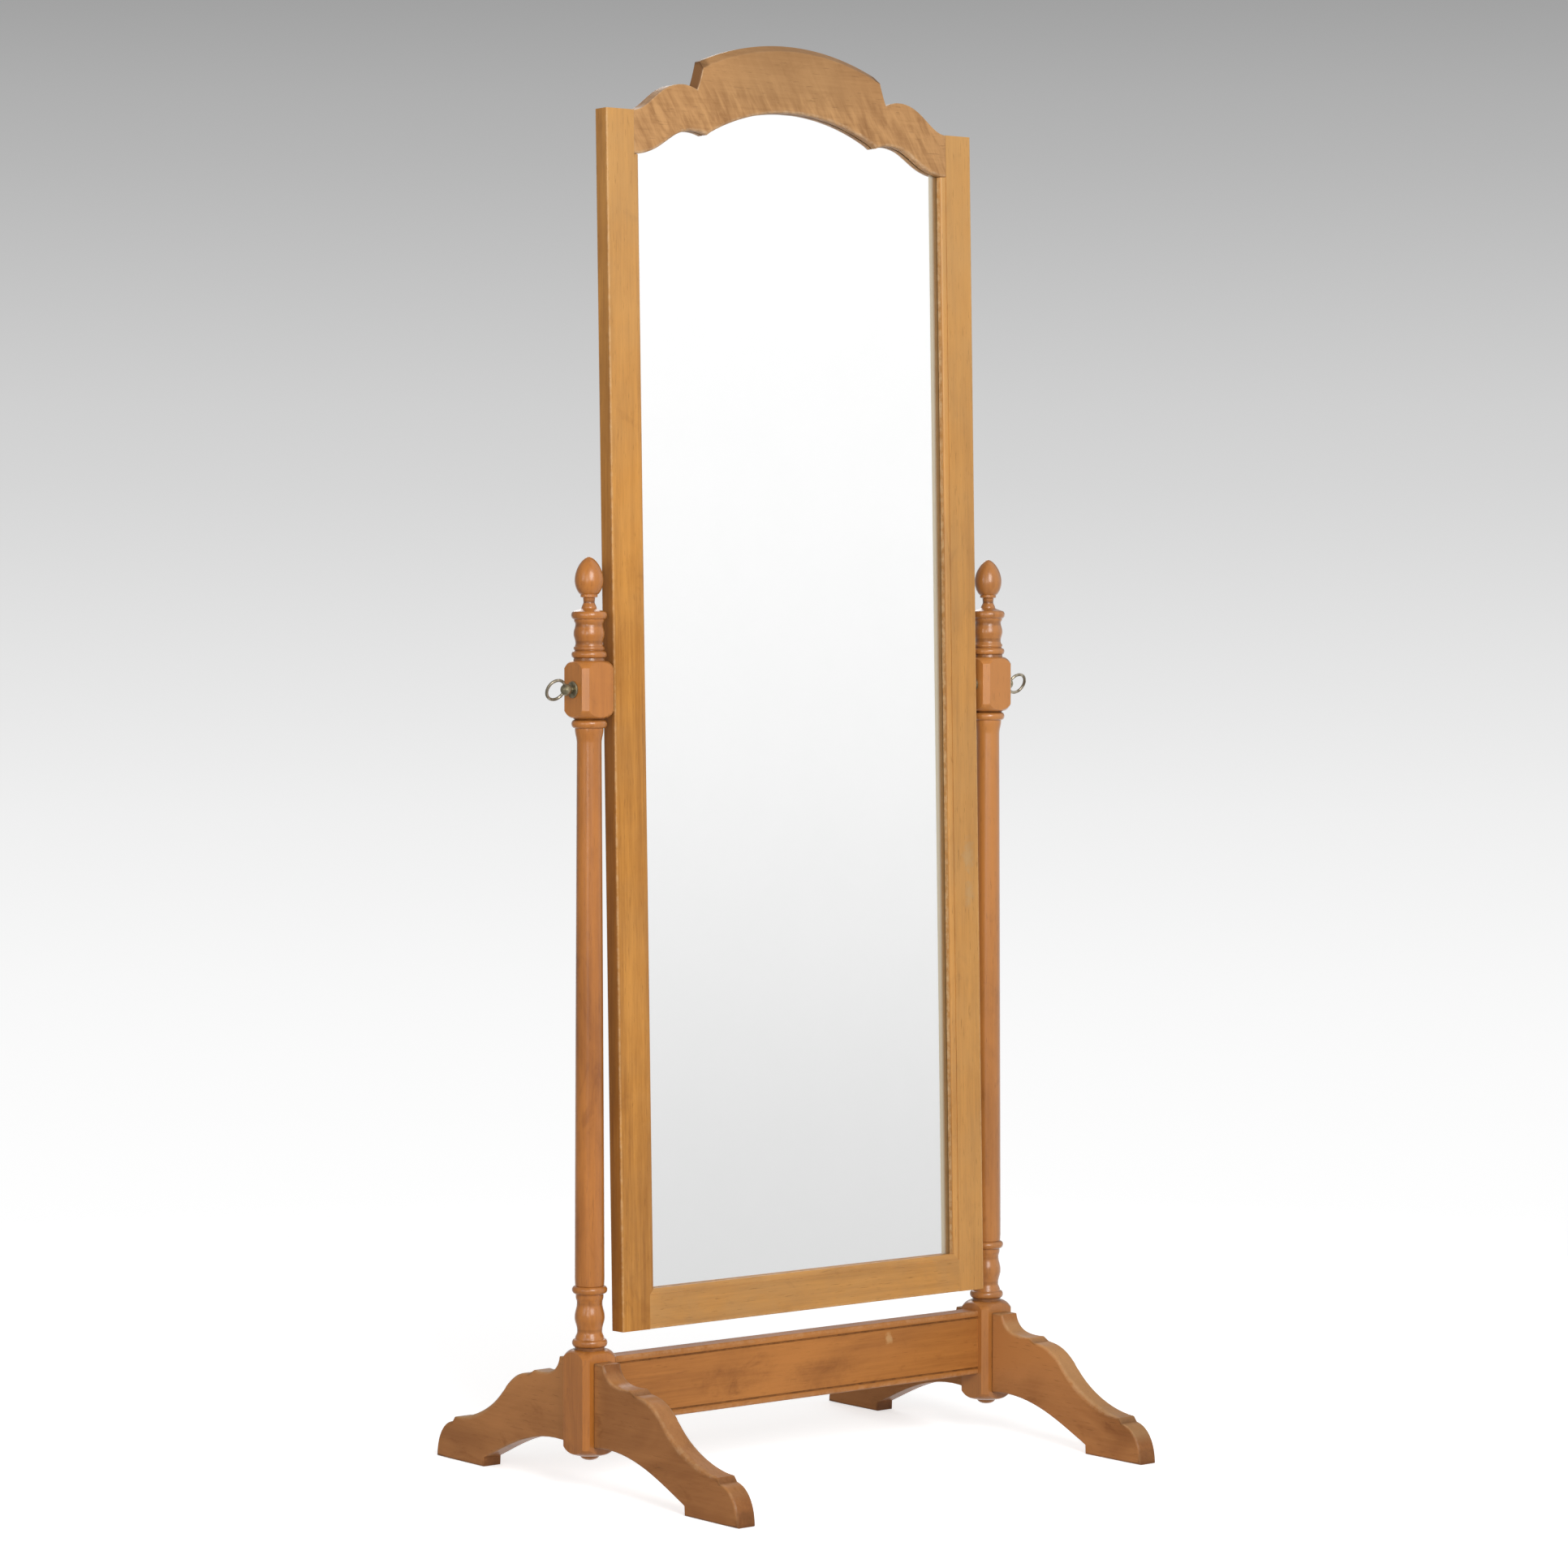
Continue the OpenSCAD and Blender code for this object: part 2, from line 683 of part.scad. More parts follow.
module rose() {
  color(old_brass)
    on_pivot([[rose_start, screw_hole], [rose_start, rose_d / 2],
              [rose_end - 1, rose_d / 2], [rose_end - 0.3, rose_d / 2 - 0.6],
              [rose_end, rose_d / 2 - 1.6], [rose_end, screw_hole]]);
}

module ring_solid(wire) {
  translate([ring_x, 0, pivot_z])
    rotate([ring_lean - 90, 0, 0])
      rotate_extrude($fn = 64)
        translate([ring_r, 0])
          circle(d = wire, $fn = 28);
}

neck_r_screw = 4.2;

module thumbscrew() {
  ball_r = ball_d / 2;
  neck_end = ball_x - sqrt(ball_r ^ 2 - neck_r_screw ^ 2);
  color(old_brass)
    difference() {
      union() {
        on_pivot([[screw_start, 0], [screw_start, screw_d / 2 - 0.6],
                  [screw_start + 0.6, screw_d / 2], [neck_start, screw_d / 2],
                  [neck_start, neck_r_screw], [neck_end, neck_r_screw],
                  [ball_x, 2], [ball_x, 0]]);
        translate([ball_x, 0, pivot_z])
          rotate([0, 90, 0])
            sphere(r = ball_r, $fn = 48);
      }
      ring_solid(ring_wire + 2 * dowel_clear);
    }
}

module left_insert() mirror([1, 0, 0]) pivot_insert();
module right_insert() pivot_insert();
module left_spacer() mirror([1, 0, 0]) spacer();
module right_spacer() spacer();
module left_rose() mirror([1, 0, 0]) rose();
module right_rose() rose();
module left_thumbscrew() mirror([1, 0, 0]) thumbscrew();
module right_thumbscrew() thumbscrew();
module left_ring() color(old_brass) mirror([1, 0, 0]) ring_solid(ring_wire);
module right_ring() color(old_brass) ring_solid(ring_wire);

left_post();
right_post();
front_left_leg();
rear_left_leg();
front_right_leg();
rear_right_leg();
stretcher();
leg_dowels();
stretcher_dowels();
left_stile();
right_stile();
crest_rail();
bottom_rail();
frame_dowels();
mirror_glass();
backing_sheet();
back_panel();
panel_screws();
left_insert();
right_insert();
left_spacer();
right_spacer();
left_rose();
right_rose();
left_thumbscrew();
right_thumbscrew();
left_ring();
right_ring();
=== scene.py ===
"""Cheval mirror: the looks of the part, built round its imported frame."""

from math import (acos, asin, atan2, cos, degrees, dist, exp, hypot, pi, radians, sin, sqrt,
                  tan)

import bmesh
import bpy
import numpy as np
from bpy.props import FloatProperty, FloatVectorProperty, PointerProperty
from bpy.types import Operator, Panel, PropertyGroup
from mathutils import Euler, Matrix, Vector


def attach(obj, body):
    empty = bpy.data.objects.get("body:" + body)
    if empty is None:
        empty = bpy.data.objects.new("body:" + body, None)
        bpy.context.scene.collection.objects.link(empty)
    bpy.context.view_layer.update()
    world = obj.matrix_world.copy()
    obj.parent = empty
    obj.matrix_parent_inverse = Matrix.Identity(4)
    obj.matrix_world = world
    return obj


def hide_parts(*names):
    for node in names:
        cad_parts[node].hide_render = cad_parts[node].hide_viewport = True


bl_info = {
    "name": "Cheval mirror",
    "version": (1, 0, 0),
    "blender": (4, 5, 0),
    "location": "3D View > Sidebar > Cheval mirror",
    "description": "Turned posts, scrolled legs and a tilting framed glass",
    "category": "Object",
}

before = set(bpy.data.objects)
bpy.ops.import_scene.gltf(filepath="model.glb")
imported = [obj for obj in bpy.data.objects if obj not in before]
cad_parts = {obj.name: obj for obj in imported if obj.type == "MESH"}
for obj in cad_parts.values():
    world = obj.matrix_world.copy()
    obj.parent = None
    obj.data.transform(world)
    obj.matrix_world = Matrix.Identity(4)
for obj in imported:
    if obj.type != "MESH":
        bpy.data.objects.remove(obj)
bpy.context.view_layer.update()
MM = 0.001
# Flat strip beside a rounded arris, in millimetres, that keeps the shading of its face even
SUPPORT = 1.2
SHARP = radians(32)
SOLID_SHARP = radians(30)

# Stand, in millimetres, the same sizes as the part's own
POST_X = 300.0
BASE_BOTTOM = 40.5
BASE_TOP = 160.0
BASE_HALF = 24.0
PIVOT_BOTTOM = 873.5
PIVOT_TOP = 938.5
PIVOT_HALF = 22.5
BLOCK_CHAMFER = 6.0
DROP_R = 11.0
DROP_HEIGHT = 5.5
SHAFT_FOOT = 240.0
SHAFT_LENGTH = 595.0
EGG_Z = 1029.0
EGG_R = 16.2
EGG_ABOVE = 26.5
EGG_BELOW = 15.5
LEG_HALF = 12.7
STRETCHER_HALF = 12.0
STRETCHER_LOW = 73.0
STRETCHER_HIGH = 150.0
STRETCHER_END = 276.0
GROOVE_IN = 8.0

# Frame, measured from the axis it tilts about
PIVOT_Z = 906.0
REST_TILT = 1.24
FACE_Y = -10.5
BACK_Y = 10.5
FRAME_HALF = 272.5
FRAME_BELOW = 727.5
FRAME_ABOVE = 654.5
JOINT_X = 233.5
SIGHT_X = 226.5
RAIL_JOINT_Z = -689.0
SIGHT_Z = -682.0
LIP_Y = FACE_Y + 4.0
GLASS_Y = -1.3
GLASS_THICK = 4.0
GLASS_HALF = 232.0
GLASS_BOTTOM = -687.5
GLASS_APEX = 670.5
GLASS_RISE = 55.0
GLASS_R = (GLASS_HALF**2 + GLASS_RISE**2) / (2 * GLASS_RISE)
GLASS_CENTRE = GLASS_APEX - GLASS_R
PANEL_Y = 4.1
PANEL_COVER = 11.0
REBATE_GAP = 0.5
GLASS_POCKET = GLASS_HALF + REBATE_GAP
POCKET_END = 618.0
PANEL_POCKET = GLASS_POCKET + PANEL_COVER
PANEL_POCKET_R = GLASS_R + PANEL_COVER + REBATE_GAP

# Crest
CREST_THICK = 19.0
CREST_END = FRAME_ABOVE - 50.0
CORNER = (130.5, FRAME_ABOVE + 62.6)
CREST_RISE = 26.2
TOP_R = (CORNER[0] ** 2 + CREST_RISE**2) / (2 * CREST_RISE)
TOP_CENTRE = CORNER[1] + CREST_RISE - TOP_R
TOP_STEPS = 22
VALLEY = (141.5, FRAME_ABOVE + 29.0)
LOBE = (162.0, FRAME_ABOVE + 33.5)
BEVEL_HEIGHT = 7.0
BEVEL_IN = 9.5
COVE_R = 83.0
UNDER_LOBE_R = 58.0
UNDER_LOBE_X = 147.0
UNDER_SLOPE = 32.2
ARCH_R = 269.5
ARCH_CENTRE = FRAME_ABOVE + 10.5 - ARCH_R
CUSP_X = 127.0

# Studio, in metres; both tables pair the sine of a direction's height with a screen grey
BACKDROP = [(-0.130, 255), (-0.113, 253), (-0.097, 251), (-0.079, 248), (-0.0445, 240),
            (-0.0102, 228), (0.0243, 214), (0.0415, 208), (0.0586, 200), (0.0927, 182),
            (0.1064, 175), (0.1256, 162)]
ROOM = [(-0.12, 217), (-0.08, 225), (-0.04, 235), (0.0, 243), (0.05, 250), (0.1, 254),
        (0.14, 255)]
ROOM_LEVEL = 1.055
ROOM_SIDES = (0.3, 0.3, 0.3, 1.0)
# Name, place, height of the point it faces, width and height
LAMPS = [("key", (-1.2, -3.4, 2.3), 1.0, (1.5, 1.9)),
         ("fill", (-4.6, -0.6, 2.0), 1.0, (0.7, 2.0)),
         ("side", (-3.9, -3.0, 1.5), 1.0, (0.6, 1.9)),
         ("back", (2.4, 3.6, 2.8), 0.9, (2.0, 2.0))]
CAMERA_PLACE = (-3.4784, -4.2482, 1.0050)
CAMERA_YAW, CAMERA_PITCH, CAMERA_ROLL = 0.6837, -0.0387, 0.0007
SENSOR = 36.0
LENS = 5803.2 / 1932 * SENSOR
FLOOR_RINGS = (3.0, 2.0, 1.2, 0.5, 0.0001)
FLOOR_Z = -0.0004
FLOOR_FADE = (1.1, 2.6)
FLOOR_GREY = (0.86, 0.86, 0.86, 1.0)
FLOOR_LIFT = 0.58


# Curves


def cubic(t, p, q, r, s):
    """One point of a cubic curve."""
    u = 1 - t
    return tuple(u**3 * p[k] + 3 * u * u * t * q[k] + 3 * u * t * t * r[k] + t**3 * s[k]
                 for k in (0, 1))


def bezier(p, q, r, s, count):
    """Points of a cubic curve, the first point left out."""
    return [cubic(i / count, p, q, r, s) for i in range(1, count + 1)]


def arc(cx, cy, r, start, end, count):
    """Points of a circular arc between two angles in degrees."""
    turns = [radians(start + (end - start) * i / count) for i in range(count + 1)]
    return [(cx + r * cos(a), cy + r * sin(a)) for a in turns]


def quarter(cx, cy, r, start, end, wear):
    """A rounded arris, with the wear of its points."""
    return [(x, y, wear) for x, y in arc(cx, cy, r, start, end, 4)]


def bead(core, outer, z0, z1, count=14):
    """A half-round turned ring."""
    turns = [pi * i / count for i in range(count + 1)]
    return [(core + (outer - core) * sin(a), (z0 + z1) / 2 - (z1 - z0) / 2 * cos(a))
            for a in turns]


def ease(r0, z0, r1, z1, count=12):
    """A turned slope that leaves and arrives parallel to the axis."""
    return [(r0 + (r1 - r0) * (1 - cos(pi * t)) / 2, z0 + (z1 - z0) * t)
            for t in (i / count for i in range(count + 1))]


def inward(outline):
    """Mitred inward directions of a closed outline, whichever way it runs."""
    pts = np.array(outline, float)
    after = np.roll(pts, -1, 0) - pts
    area = float(np.sum(pts[:, 0] * np.roll(pts[:, 1], -1) - np.roll(pts[:, 0], -1) * pts[:, 1]))
    turn = 1.0 if area > 0 else -1.0
    length = np.maximum(np.linalg.norm(after, axis=1, keepdims=True), 1e-9)
    side = np.stack([-after[:, 1], after[:, 0]], 1) / length * turn
    both = side + np.roll(side, 1, 0)
    unit = both / np.maximum(np.linalg.norm(both, axis=1, keepdims=True), 1e-6)
    return unit / np.maximum(np.sum(unit * side, 1, keepdims=True), 0.45)


# Meshes


def ring_faces(rings, count):
    """Quads that join closed rings with as many points each."""
    return [(i * count + k, i * count + n, (i + 1) * count + n, (i + 1) * count + k)
            for i in range(rings - 1) for k, n in zip(range(count), [*range(1, count), 0])]


def put(name, data):
    """Puts a mesh, a light or a camera in the scene."""
    made = bpy.data.objects.new(name, data)
    bpy.context.scene.collection.objects.link(made)
    return made


def build(name, rings, body, replaced, material, place=None, worn=None, grime=None):
    """Makes a piece from closed rings of points in millimetres and joins it to its body; its
    points carry wear and painted shade.
    """
    count = len(rings[0])
    verts = np.array([p for ring in rings for p in ring], float) * MM
    last = (len(rings) - 1) * count
    faces = ring_faces(len(rings), count)
    faces += [tuple(range(count - 1, -1, -1)), tuple(range(last, last + count))]
    mesh = bpy.data.meshes.new(name)
    mesh.from_pydata([tuple(v) for v in verts], [], faces)
    for label, values in (("worn", worn), ("grime", grime)):
        layer = mesh.attributes.new(label, "FLOAT", "POINT")
        if values is not None:
            layer.data.foreach_set("value", np.array(values, np.float32).ravel())
    clean(mesh, place)
    mesh.materials.append(material)
    piece = put(name, mesh)
    smooth = piece.modifiers.new("even_shading", "WEIGHTED_NORMAL")
    smooth.keep_sharp = True
    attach(piece, body)
    if replaced:
        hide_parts(*replaced)


def clean(mesh, place):
    """Joins double points, puts the mesh in its place and smooths it up to its edges."""
    work = bmesh.new()
    work.from_mesh(mesh)
    bmesh.ops.remove_doubles(work, verts=work.verts, dist=2e-6)
    bmesh.ops.dissolve_degenerate(work, dist=1e-6, edges=work.edges)
    bmesh.ops.recalc_face_normals(work, faces=work.faces)
    if place is not None:
        bmesh.ops.transform(work, matrix=place, verts=work.verts)
    work.to_mesh(mesh)
    work.free()
    mesh.shade_smooth()
    mesh.set_sharp_from_angle(angle=SHARP)


def in_frame():
    """Places a piece drawn round the tilting axis at its drawn lean."""
    lift = Matrix.Translation((0, 0, PIVOT_Z * MM))
    return lift @ Matrix.Rotation(radians(-REST_TILT), 4, "X")


# Shaders


class Value:
    """A socket of a shader, used in sums and products as a number is."""

    def __init__(self, shader, socket):
        self.shader = shader
        self.socket = socket

    def maths(self, operation, *terms):
        inputs = dict(enumerate(terms))
        return self.shader.node("ShaderNodeMath", {"operation": operation}, inputs)

    def __add__(self, other):
        return self.maths("ADD", self, other)

    def __radd__(self, other):
        return self.maths("ADD", other, self)

    def __sub__(self, other):
        return self.maths("SUBTRACT", self, other)

    def __rsub__(self, other):
        return self.maths("SUBTRACT", other, self)

    def __mul__(self, other):
        return self.maths("MULTIPLY", self, other)

    def __rmul__(self, other):
        return self.maths("MULTIPLY", other, self)

    def abs(self):
        return self.maths("ABSOLUTE", self)

    def either(self, other):
        return self.maths("MAXIMUM", self, other)

    def above(self, low, high):
        """0 at low, 1 at high, and a smooth step between."""
        return self.shader.node(
            "ShaderNodeMapRange", {"interpolation_type": "SMOOTHSTEP"},
            {"Value": self, "From Min": low, "From Max": high})


class Shader:
    """A node material or world that is written as expressions."""

    def __init__(self, owner):
        owner.use_nodes = True
        self.owner = owner
        self.tree = owner.node_tree
        self.tree.nodes.clear()

    def node(self, kind, settings=None, inputs=None, output=0):
        """Adds a node: its settings first, then the values or links of its sockets."""
        made = self.tree.nodes.new(kind)
        for name, value in (settings or {}).items():
            if name == "stops":
                set_stops(made.color_ramp, value)
            else:
                setattr(made, name, value)
        for key, value in (inputs or {}).items():
            if isinstance(value, Value):
                self.tree.links.new(value.socket, made.inputs[key])
            else:
                made.inputs[key].default_value = value
        return Value(self, made.outputs[output]) if made.outputs else None

    def blend(self, factor, a, b):
        """Mixes two colours."""
        return self.node("ShaderNodeMix", {"data_type": "RGBA"}, {0: factor, 6: a, 7: b}, 2)

    def vector(self, operation, inputs, output=0):
        settings = {"operation": operation}
        return self.node("ShaderNodeVectorMath", settings, dict(enumerate(inputs)), output)

    def length(self, where):
        return self.vector("LENGTH", [where], 1)

    def place(self):
        """The place in the part at rest."""
        return self.node("ShaderNodeTexCoord", output="Object")

    def noise(self, where, scale, detail=2.0, rough=0.5, bend=0.0):
        return self.node("ShaderNodeTexNoise", None,
                         {"Vector": where, "Scale": scale, "Detail": detail,
                          "Roughness": rough, "Distortion": bend})

    def stretched(self, where, factors, turn=(0, 0, 0)):
        """The place turned back by some angles, then scaled along each axis."""
        return self.node("ShaderNodeMapping", {"vector_type": "TEXTURE"},
                         {"Vector": where, "Scale": tuple(1 / f for f in factors),
                          "Rotation": turn})

    def parts(self, where):
        """The three numbers of a place."""
        first = self.node("ShaderNodeSeparateXYZ", None, {0: where})
        return [Value(self, out) for out in first.socket.node.outputs]

    def mark(self, where, centre, size):
        """1 at a point, fading out raggedly over a size along each axis."""
        moved = self.vector("SUBTRACT", (where, centre))
        scaled = self.vector("MULTIPLY", (moved, tuple(1 / part for part in size)))
        ragged = self.noise(where, 110.0, 5.0, 0.7) * 2.4 - 1.2
        return (self.length(scaled) + ragged).above(1.25, 0.35)

    def facing(self, axis):
        """How far the surface faces along one axis."""
        return self.parts(self.node("ShaderNodeNewGeometry", output="Normal"))[axis]

    def attribute(self, name):
        return self.node("ShaderNodeAttribute", {"attribute_name": name}, None, 2)

    def ray(self, kind):
        """1 for one kind of ray, 0 for the others."""
        return self.node("ShaderNodeLightPath", output=f"Is {kind} Ray")

    def bump(self, strength, distance, height):
        return self.node("ShaderNodeBump", None,
                         {"Strength": strength, "Distance": distance, "Height": height})

    def close(self, inputs):
        """Ends a material in one surface and hands it over."""
        surface = self.node("ShaderNodeBsdfPrincipled", None, inputs)
        self.node("ShaderNodeOutputMaterial", None, {"Surface": surface})
        return self.owner


def set_stops(band, stops):
    """Gives a ramp its places and greys."""
    while len(band.elements) < len(stops):
        band.elements.new(0.5)
    for element, (at, _) in zip(band.elements, stops):
        element.position = at
    for element, (_, grey) in zip(band.elements, stops):
        element.color = linear(f"{grey:02X}" * 3)


def linear(code):
    """Linear colour of a six-figure screen colour."""
    parts = [int(code[k : k + 2], 16) / 255 for k in (0, 2, 4)]
    return (*(c / 12.92 if c <= 0.04045 else ((c + 0.055) / 1.055) ** 2.4 for c in parts), 1.0)


def stains(context, kind):
    """The lighter and the darker stain of one kind of piece."""
    look = context.scene.cheval_wood
    return getattr(look, kind + "_light"), getattr(look, kind + "_dark")


def wood(name, colours, along, figure=0.35, blotch=0.6, gloss=0.42, coat=0.15,
         worn_colour=None, own_figure=None, relief=0.18):
    """Stained and lacquered maple: cloudy stain, growth bands, fine streaks, pores and figure,
    with painted shade from a point attribute.
    """
    s = Shader(bpy.data.materials.new(name))
    where = s.place()
    light, dark = colours

    def drawn_out(amount):
        return s.stretched(where, tuple(amount if way == along else 1 for way in "xyz"))

    streak = s.noise(drawn_out(0.035), 330.0, 4.0, 0.6, 0.3)
    band = s.noise(drawn_out(0.05), 60.0, 4.0, 0.6, 0.8)
    cloud = s.noise(drawn_out(0.45), 11.0, 5.0, 0.6, 0.7)
    broad = s.noise(where, 2.6, 2.0, 0.5, 0.3)
    spots = s.noise(drawn_out(0.5), 34.0, 4.0, 0.62, 0.9).above(0.56, 0.74)
    pores = s.noise(drawn_out(0.07), 760.0, 2.0, 0.5).above(0.64, 0.72)
    tone = (streak - 0.5) * (1.3 * figure) + (band - 0.5) * (1.5 * figure)
    tone = tone + (cloud - 0.5) * (1.5 * blotch) + (broad - 0.5) * (0.8 * blotch)
    tone = tone + spots * (0.3 * blotch) + 0.47
    change, fade_and_sheen = own_figure(s, where) if own_figure else (0.0, 0.0)
    colour = s.blend((tone + change).above(0.0, 1.0), light, dark)
    if own_figure:
        # the paler mix: fading on some boards, a painted sheen on the legs' tops and the frame's
        # upper part
        colour = s.blend(fade_and_sheen, colour, linear("BD9A6B"))
    deep = (*(0.35 * part for part in dark[:3]), 1.0)
    colour = s.blend(pores * 0.3, colour, deep)
    rub, grime = s.attribute("worn"), s.attribute("grime")
    patchy = s.noise(where, 120.0, 5.0, 0.7).above(0.35, 0.7)
    if worn_colour is not None:
        colour = s.blend(rub * (patchy * 0.3 + 0.05), colour, linear(worn_colour))
    # painted shade: hollows, grooves, corners and shaded faces are darkened towards the deep stain
    colour = s.blend(grime * (patchy * 0.3 + 0.45), colour, deep)
    rough = (cloud - 0.5) * 0.14 + (streak - 0.5) * 0.08 + rub * 0.08 + grime * 0.1 + gloss
    height = streak * 0.4 + pores * -0.5 + s.noise(where, 16.0, 2.0, 0.5) * 0.9
    return s.close({
        "Base Color": colour, "Roughness": rough, "Normal": s.bump(relief, 0.0006, height),
        "IOR": 1.45, "Specular IOR Level": 0.15, "Coat Weight": coat,
        "Coat Roughness": 0.18 + 0.11 * coat})


# What each kind of board has of its own: a darker or lighter tone, which on some boards holds
# painted light and shade, and a paler mix, which is fading on some boards and a painted sheen on
# others


def curls(s, where):
    """Short slanting curls low on the crest, a darker, plainer middle, and painted shade on the
    wall of the raised centre that faces left.
    """
    x, _, z = s.parts(where)
    slant = s.stretched(where, (1, 1, 0.2), (0, radians(-30), 0))
    curl = s.noise(slant, 135.0, 4.0, 0.55, 0.4)
    low = z.above(1.615, 1.56)
    middle = x.abs().above(0.15, 0.04) * z.above(1.54, 1.6)
    # painted shade on the left-facing wall of the raised centre
    shaded_wall = (s.facing(0) * -1).above(0.5, 0.9) * z.above(1.565, 1.585)
    change = (curl - 0.5) * (low * 1.25 + 0.25) + middle * 0.16 - low * 0.04 + shaded_wall * 0.8
    return change, middle * 0.15 + 0.03


def top_light_side_shade(s, where):
    """Painted light from above: paler and lighter towards the top, with a painted sheen, and
    darker low down; painted shade on the side faces; paler on the right, in patches and at two
    marks.
    """
    x, _, z = s.parts(where)
    high, low, right = z.above(0.95, 1.6), z.above(0.6, 0.3), x.above(-0.2, 0.25)
    patch = s.noise(where, 8.0, 4.0, 0.6).above(0.3, 0.7)
    fade_and_sheen = high * 0.42 + right * (high * -0.25 + 0.25) + patch * 0.14
    # painted shade on faces that look sideways, which also stay less pale
    side = s.facing(0).abs().above(0.5, 0.9)
    marks = s.mark(where, (0.256, -0.011, 0.7), (0.009, 0.012, 0.022))
    marks = marks + s.mark(where, (0.257, -0.011, 0.655), (0.008, 0.012, 0.017)) * 0.9
    # lighter high and darker low: painted light falling from above
    change = low * 0.1 - right * 0.12 - high * 0.12 + side * 0.25
    return change + marks * 0.3, fade_and_sheen * (side * -0.6 + 1) + marks * 0.35


def clouded(s, where):
    """A dull film in soft clouds."""
    patch = s.noise(where, 9.0, 5.0, 0.6, 0.6).above(0.3, 0.7)
    knot = s.mark(where, (-0.093, -0.011, 0.199), (0.013, 0.012, 0.011))
    dull = s.mark(where, (0.02, -0.011, 0.205), (0.07, 0.012, 0.02))
    return patch * 0.2 - 0.12 + knot * 0.35 + dull * 0.1, patch * 0.2 + 0.22


def higher_paler(s, where):
    """Painted light from above: the shaft lighter from mid-height up, so darkest low on it; the
    right post a little lighter; the finial's stain darker.
    """
    x, _, z = s.parts(where)
    right = x.above(-0.2, 0.2)
    # lighter from mid-height up: painted light falling from above
    change = z.above(0.4, 0.75) * -0.25 + z.above(0.25, 0.12) * -0.05 - right * 0.1
    return change + z.above(0.938, 0.952) * 0.22, right * 0.1


def uneven_legs(s, where):
    """One leg darker on its sides; the others darker near the ground, a painted shade; all of them
    paler on top, a painted sheen.
    """
    x, y, z = s.parts(where)
    top, end = s.facing(2).above(0.35, 0.7), s.facing(1).abs().above(0.4, 0.8)
    # darker near the floor: painted shade
    low = z.above(0.12, 0.03)
    dark = x.above(-0.1, -0.2) * y.above(0.0, -0.05) * (top * -0.3 + 1)
    change = dark * (low * -0.5 + 0.77) + low * 0.27 + end * 0.24 - 0.48
    change = change + x.above(0.1, 0.2) * y.above(-0.19, -0.25) * 0.24
    # paler top faces: a painted sheen
    return change, top * (dark * -0.35 + 0.32)


def stained_rail(s, where):
    """Old stains on the stretcher, and one pale chip in its lacquer."""
    chip = s.mark(where, (0.134, -0.012, 0.131), (0.005, 0.012, 0.007))
    blots = s.mark(where, (-0.1, -0.012, 0.105), (0.05, 0.012, 0.016))
    blots = blots + s.mark(where, (0.03, -0.012, 0.1), (0.045, 0.012, 0.018)) * 0.8
    right = s.parts(where)[0].above(0.05, 0.25)
    return blots * 0.2 - chip * 0.3 + right * 0.14 - 0.1, chip * 0.55 + 0.07


def old_metal(name, bright, dull, rough):
    """Brass gone brown in cloudy patches, with fine scratches."""
    s = Shader(bpy.data.materials.new(name))
    where = s.place()
    cloud = s.noise(where, 130.0, 4.0, 0.6, 0.4)
    fine = s.noise(where, 900.0, 3.0, 0.6)
    age = cloud.above(0.36, 0.66)
    scratch = s.noise(s.stretched(where, (0.15, 1, 1)), 1500.0, 2.0, 0.5)
    return s.close({
        "Base Color": s.blend(age, linear(bright), linear(dull)), "Metallic": 1.0 - age * 0.25,
        "Roughness": age * 0.22 + fine * 0.08 + rough,
        "Normal": s.bump(0.2, 0.0003, cloud * 0.7 + scratch * 0.3)})


def board(name, light, dark):
    """Thin brown board: matted fibres, a smoother face and scuffs."""
    s = Shader(bpy.data.materials.new(name))
    where = s.place()
    fibre = s.noise(s.stretched(where, (1, 1, 0.5)), 620.0, 4.0, 0.7)
    cloud = s.noise(where, 7.0, 4.0, 0.55, 0.4)
    scuff = s.noise(s.stretched(where, (1, 1, 0.06)), 60.0, 3.0, 0.6).above(0.62, 0.75)
    tone = (fibre - 0.5) * 0.7 + (cloud - 0.5) * 0.6 + 0.5
    pale = linear(light)
    colour = s.blend(scuff * 0.25, s.blend(tone.above(0.1, 0.9), pale, linear(dark)), pale)
    return s.close({"Base Color": colour, "Roughness": fibre * 0.15 + 0.62,
                    "Normal": s.bump(0.25, 0.0004, fibre)})


def clear_glass(name):
    """The clear plate before the silver: almost unseen, with a faint shine of its own."""
    s = Shader(bpy.data.materials.new(name))
    haze = s.noise(s.place(), 18.0, 3.0, 0.6)
    return s.close({"Base Color": (0.98, 0.985, 0.98, 1.0), "Metallic": 1.0,
                    "Roughness": haze.above(0.6, 0.9) * 0.02, "Alpha": 0.06})


def silver(name):
    """The silver seen through the plate: a little clouded, and along its right edge a matt painted
    strip, a painted reflection of the moulding darkening to a painted shadow at the lip's foot.
    """
    s = Shader(bpy.data.materials.new(name))
    where = s.place()
    cloud = s.noise(where, 12.0, 4.0, 0.6)
    bright = s.blend(cloud.above(0.3, 0.8), (0.975, 0.975, 0.975, 1), (0.965, 0.967, 0.965, 1))
    across = s.parts(where)[0]
    # painted strip along the right edge: a painted reflection of the moulding, then a painted
    # shadow under the lip
    painted_strip = across.above(0.2145, 0.2152)
    dull = s.blend(across.above(0.2175, 0.2235), linear("BBAF95"), linear("8A6A42"))
    return s.close({"Base Color": s.blend(painted_strip, bright, dull), "Metallic": painted_strip * -0.9 + 1,
                    "Roughness": cloud * 0.008 + painted_strip * 0.4 + 0.002})


# Sizes and colours


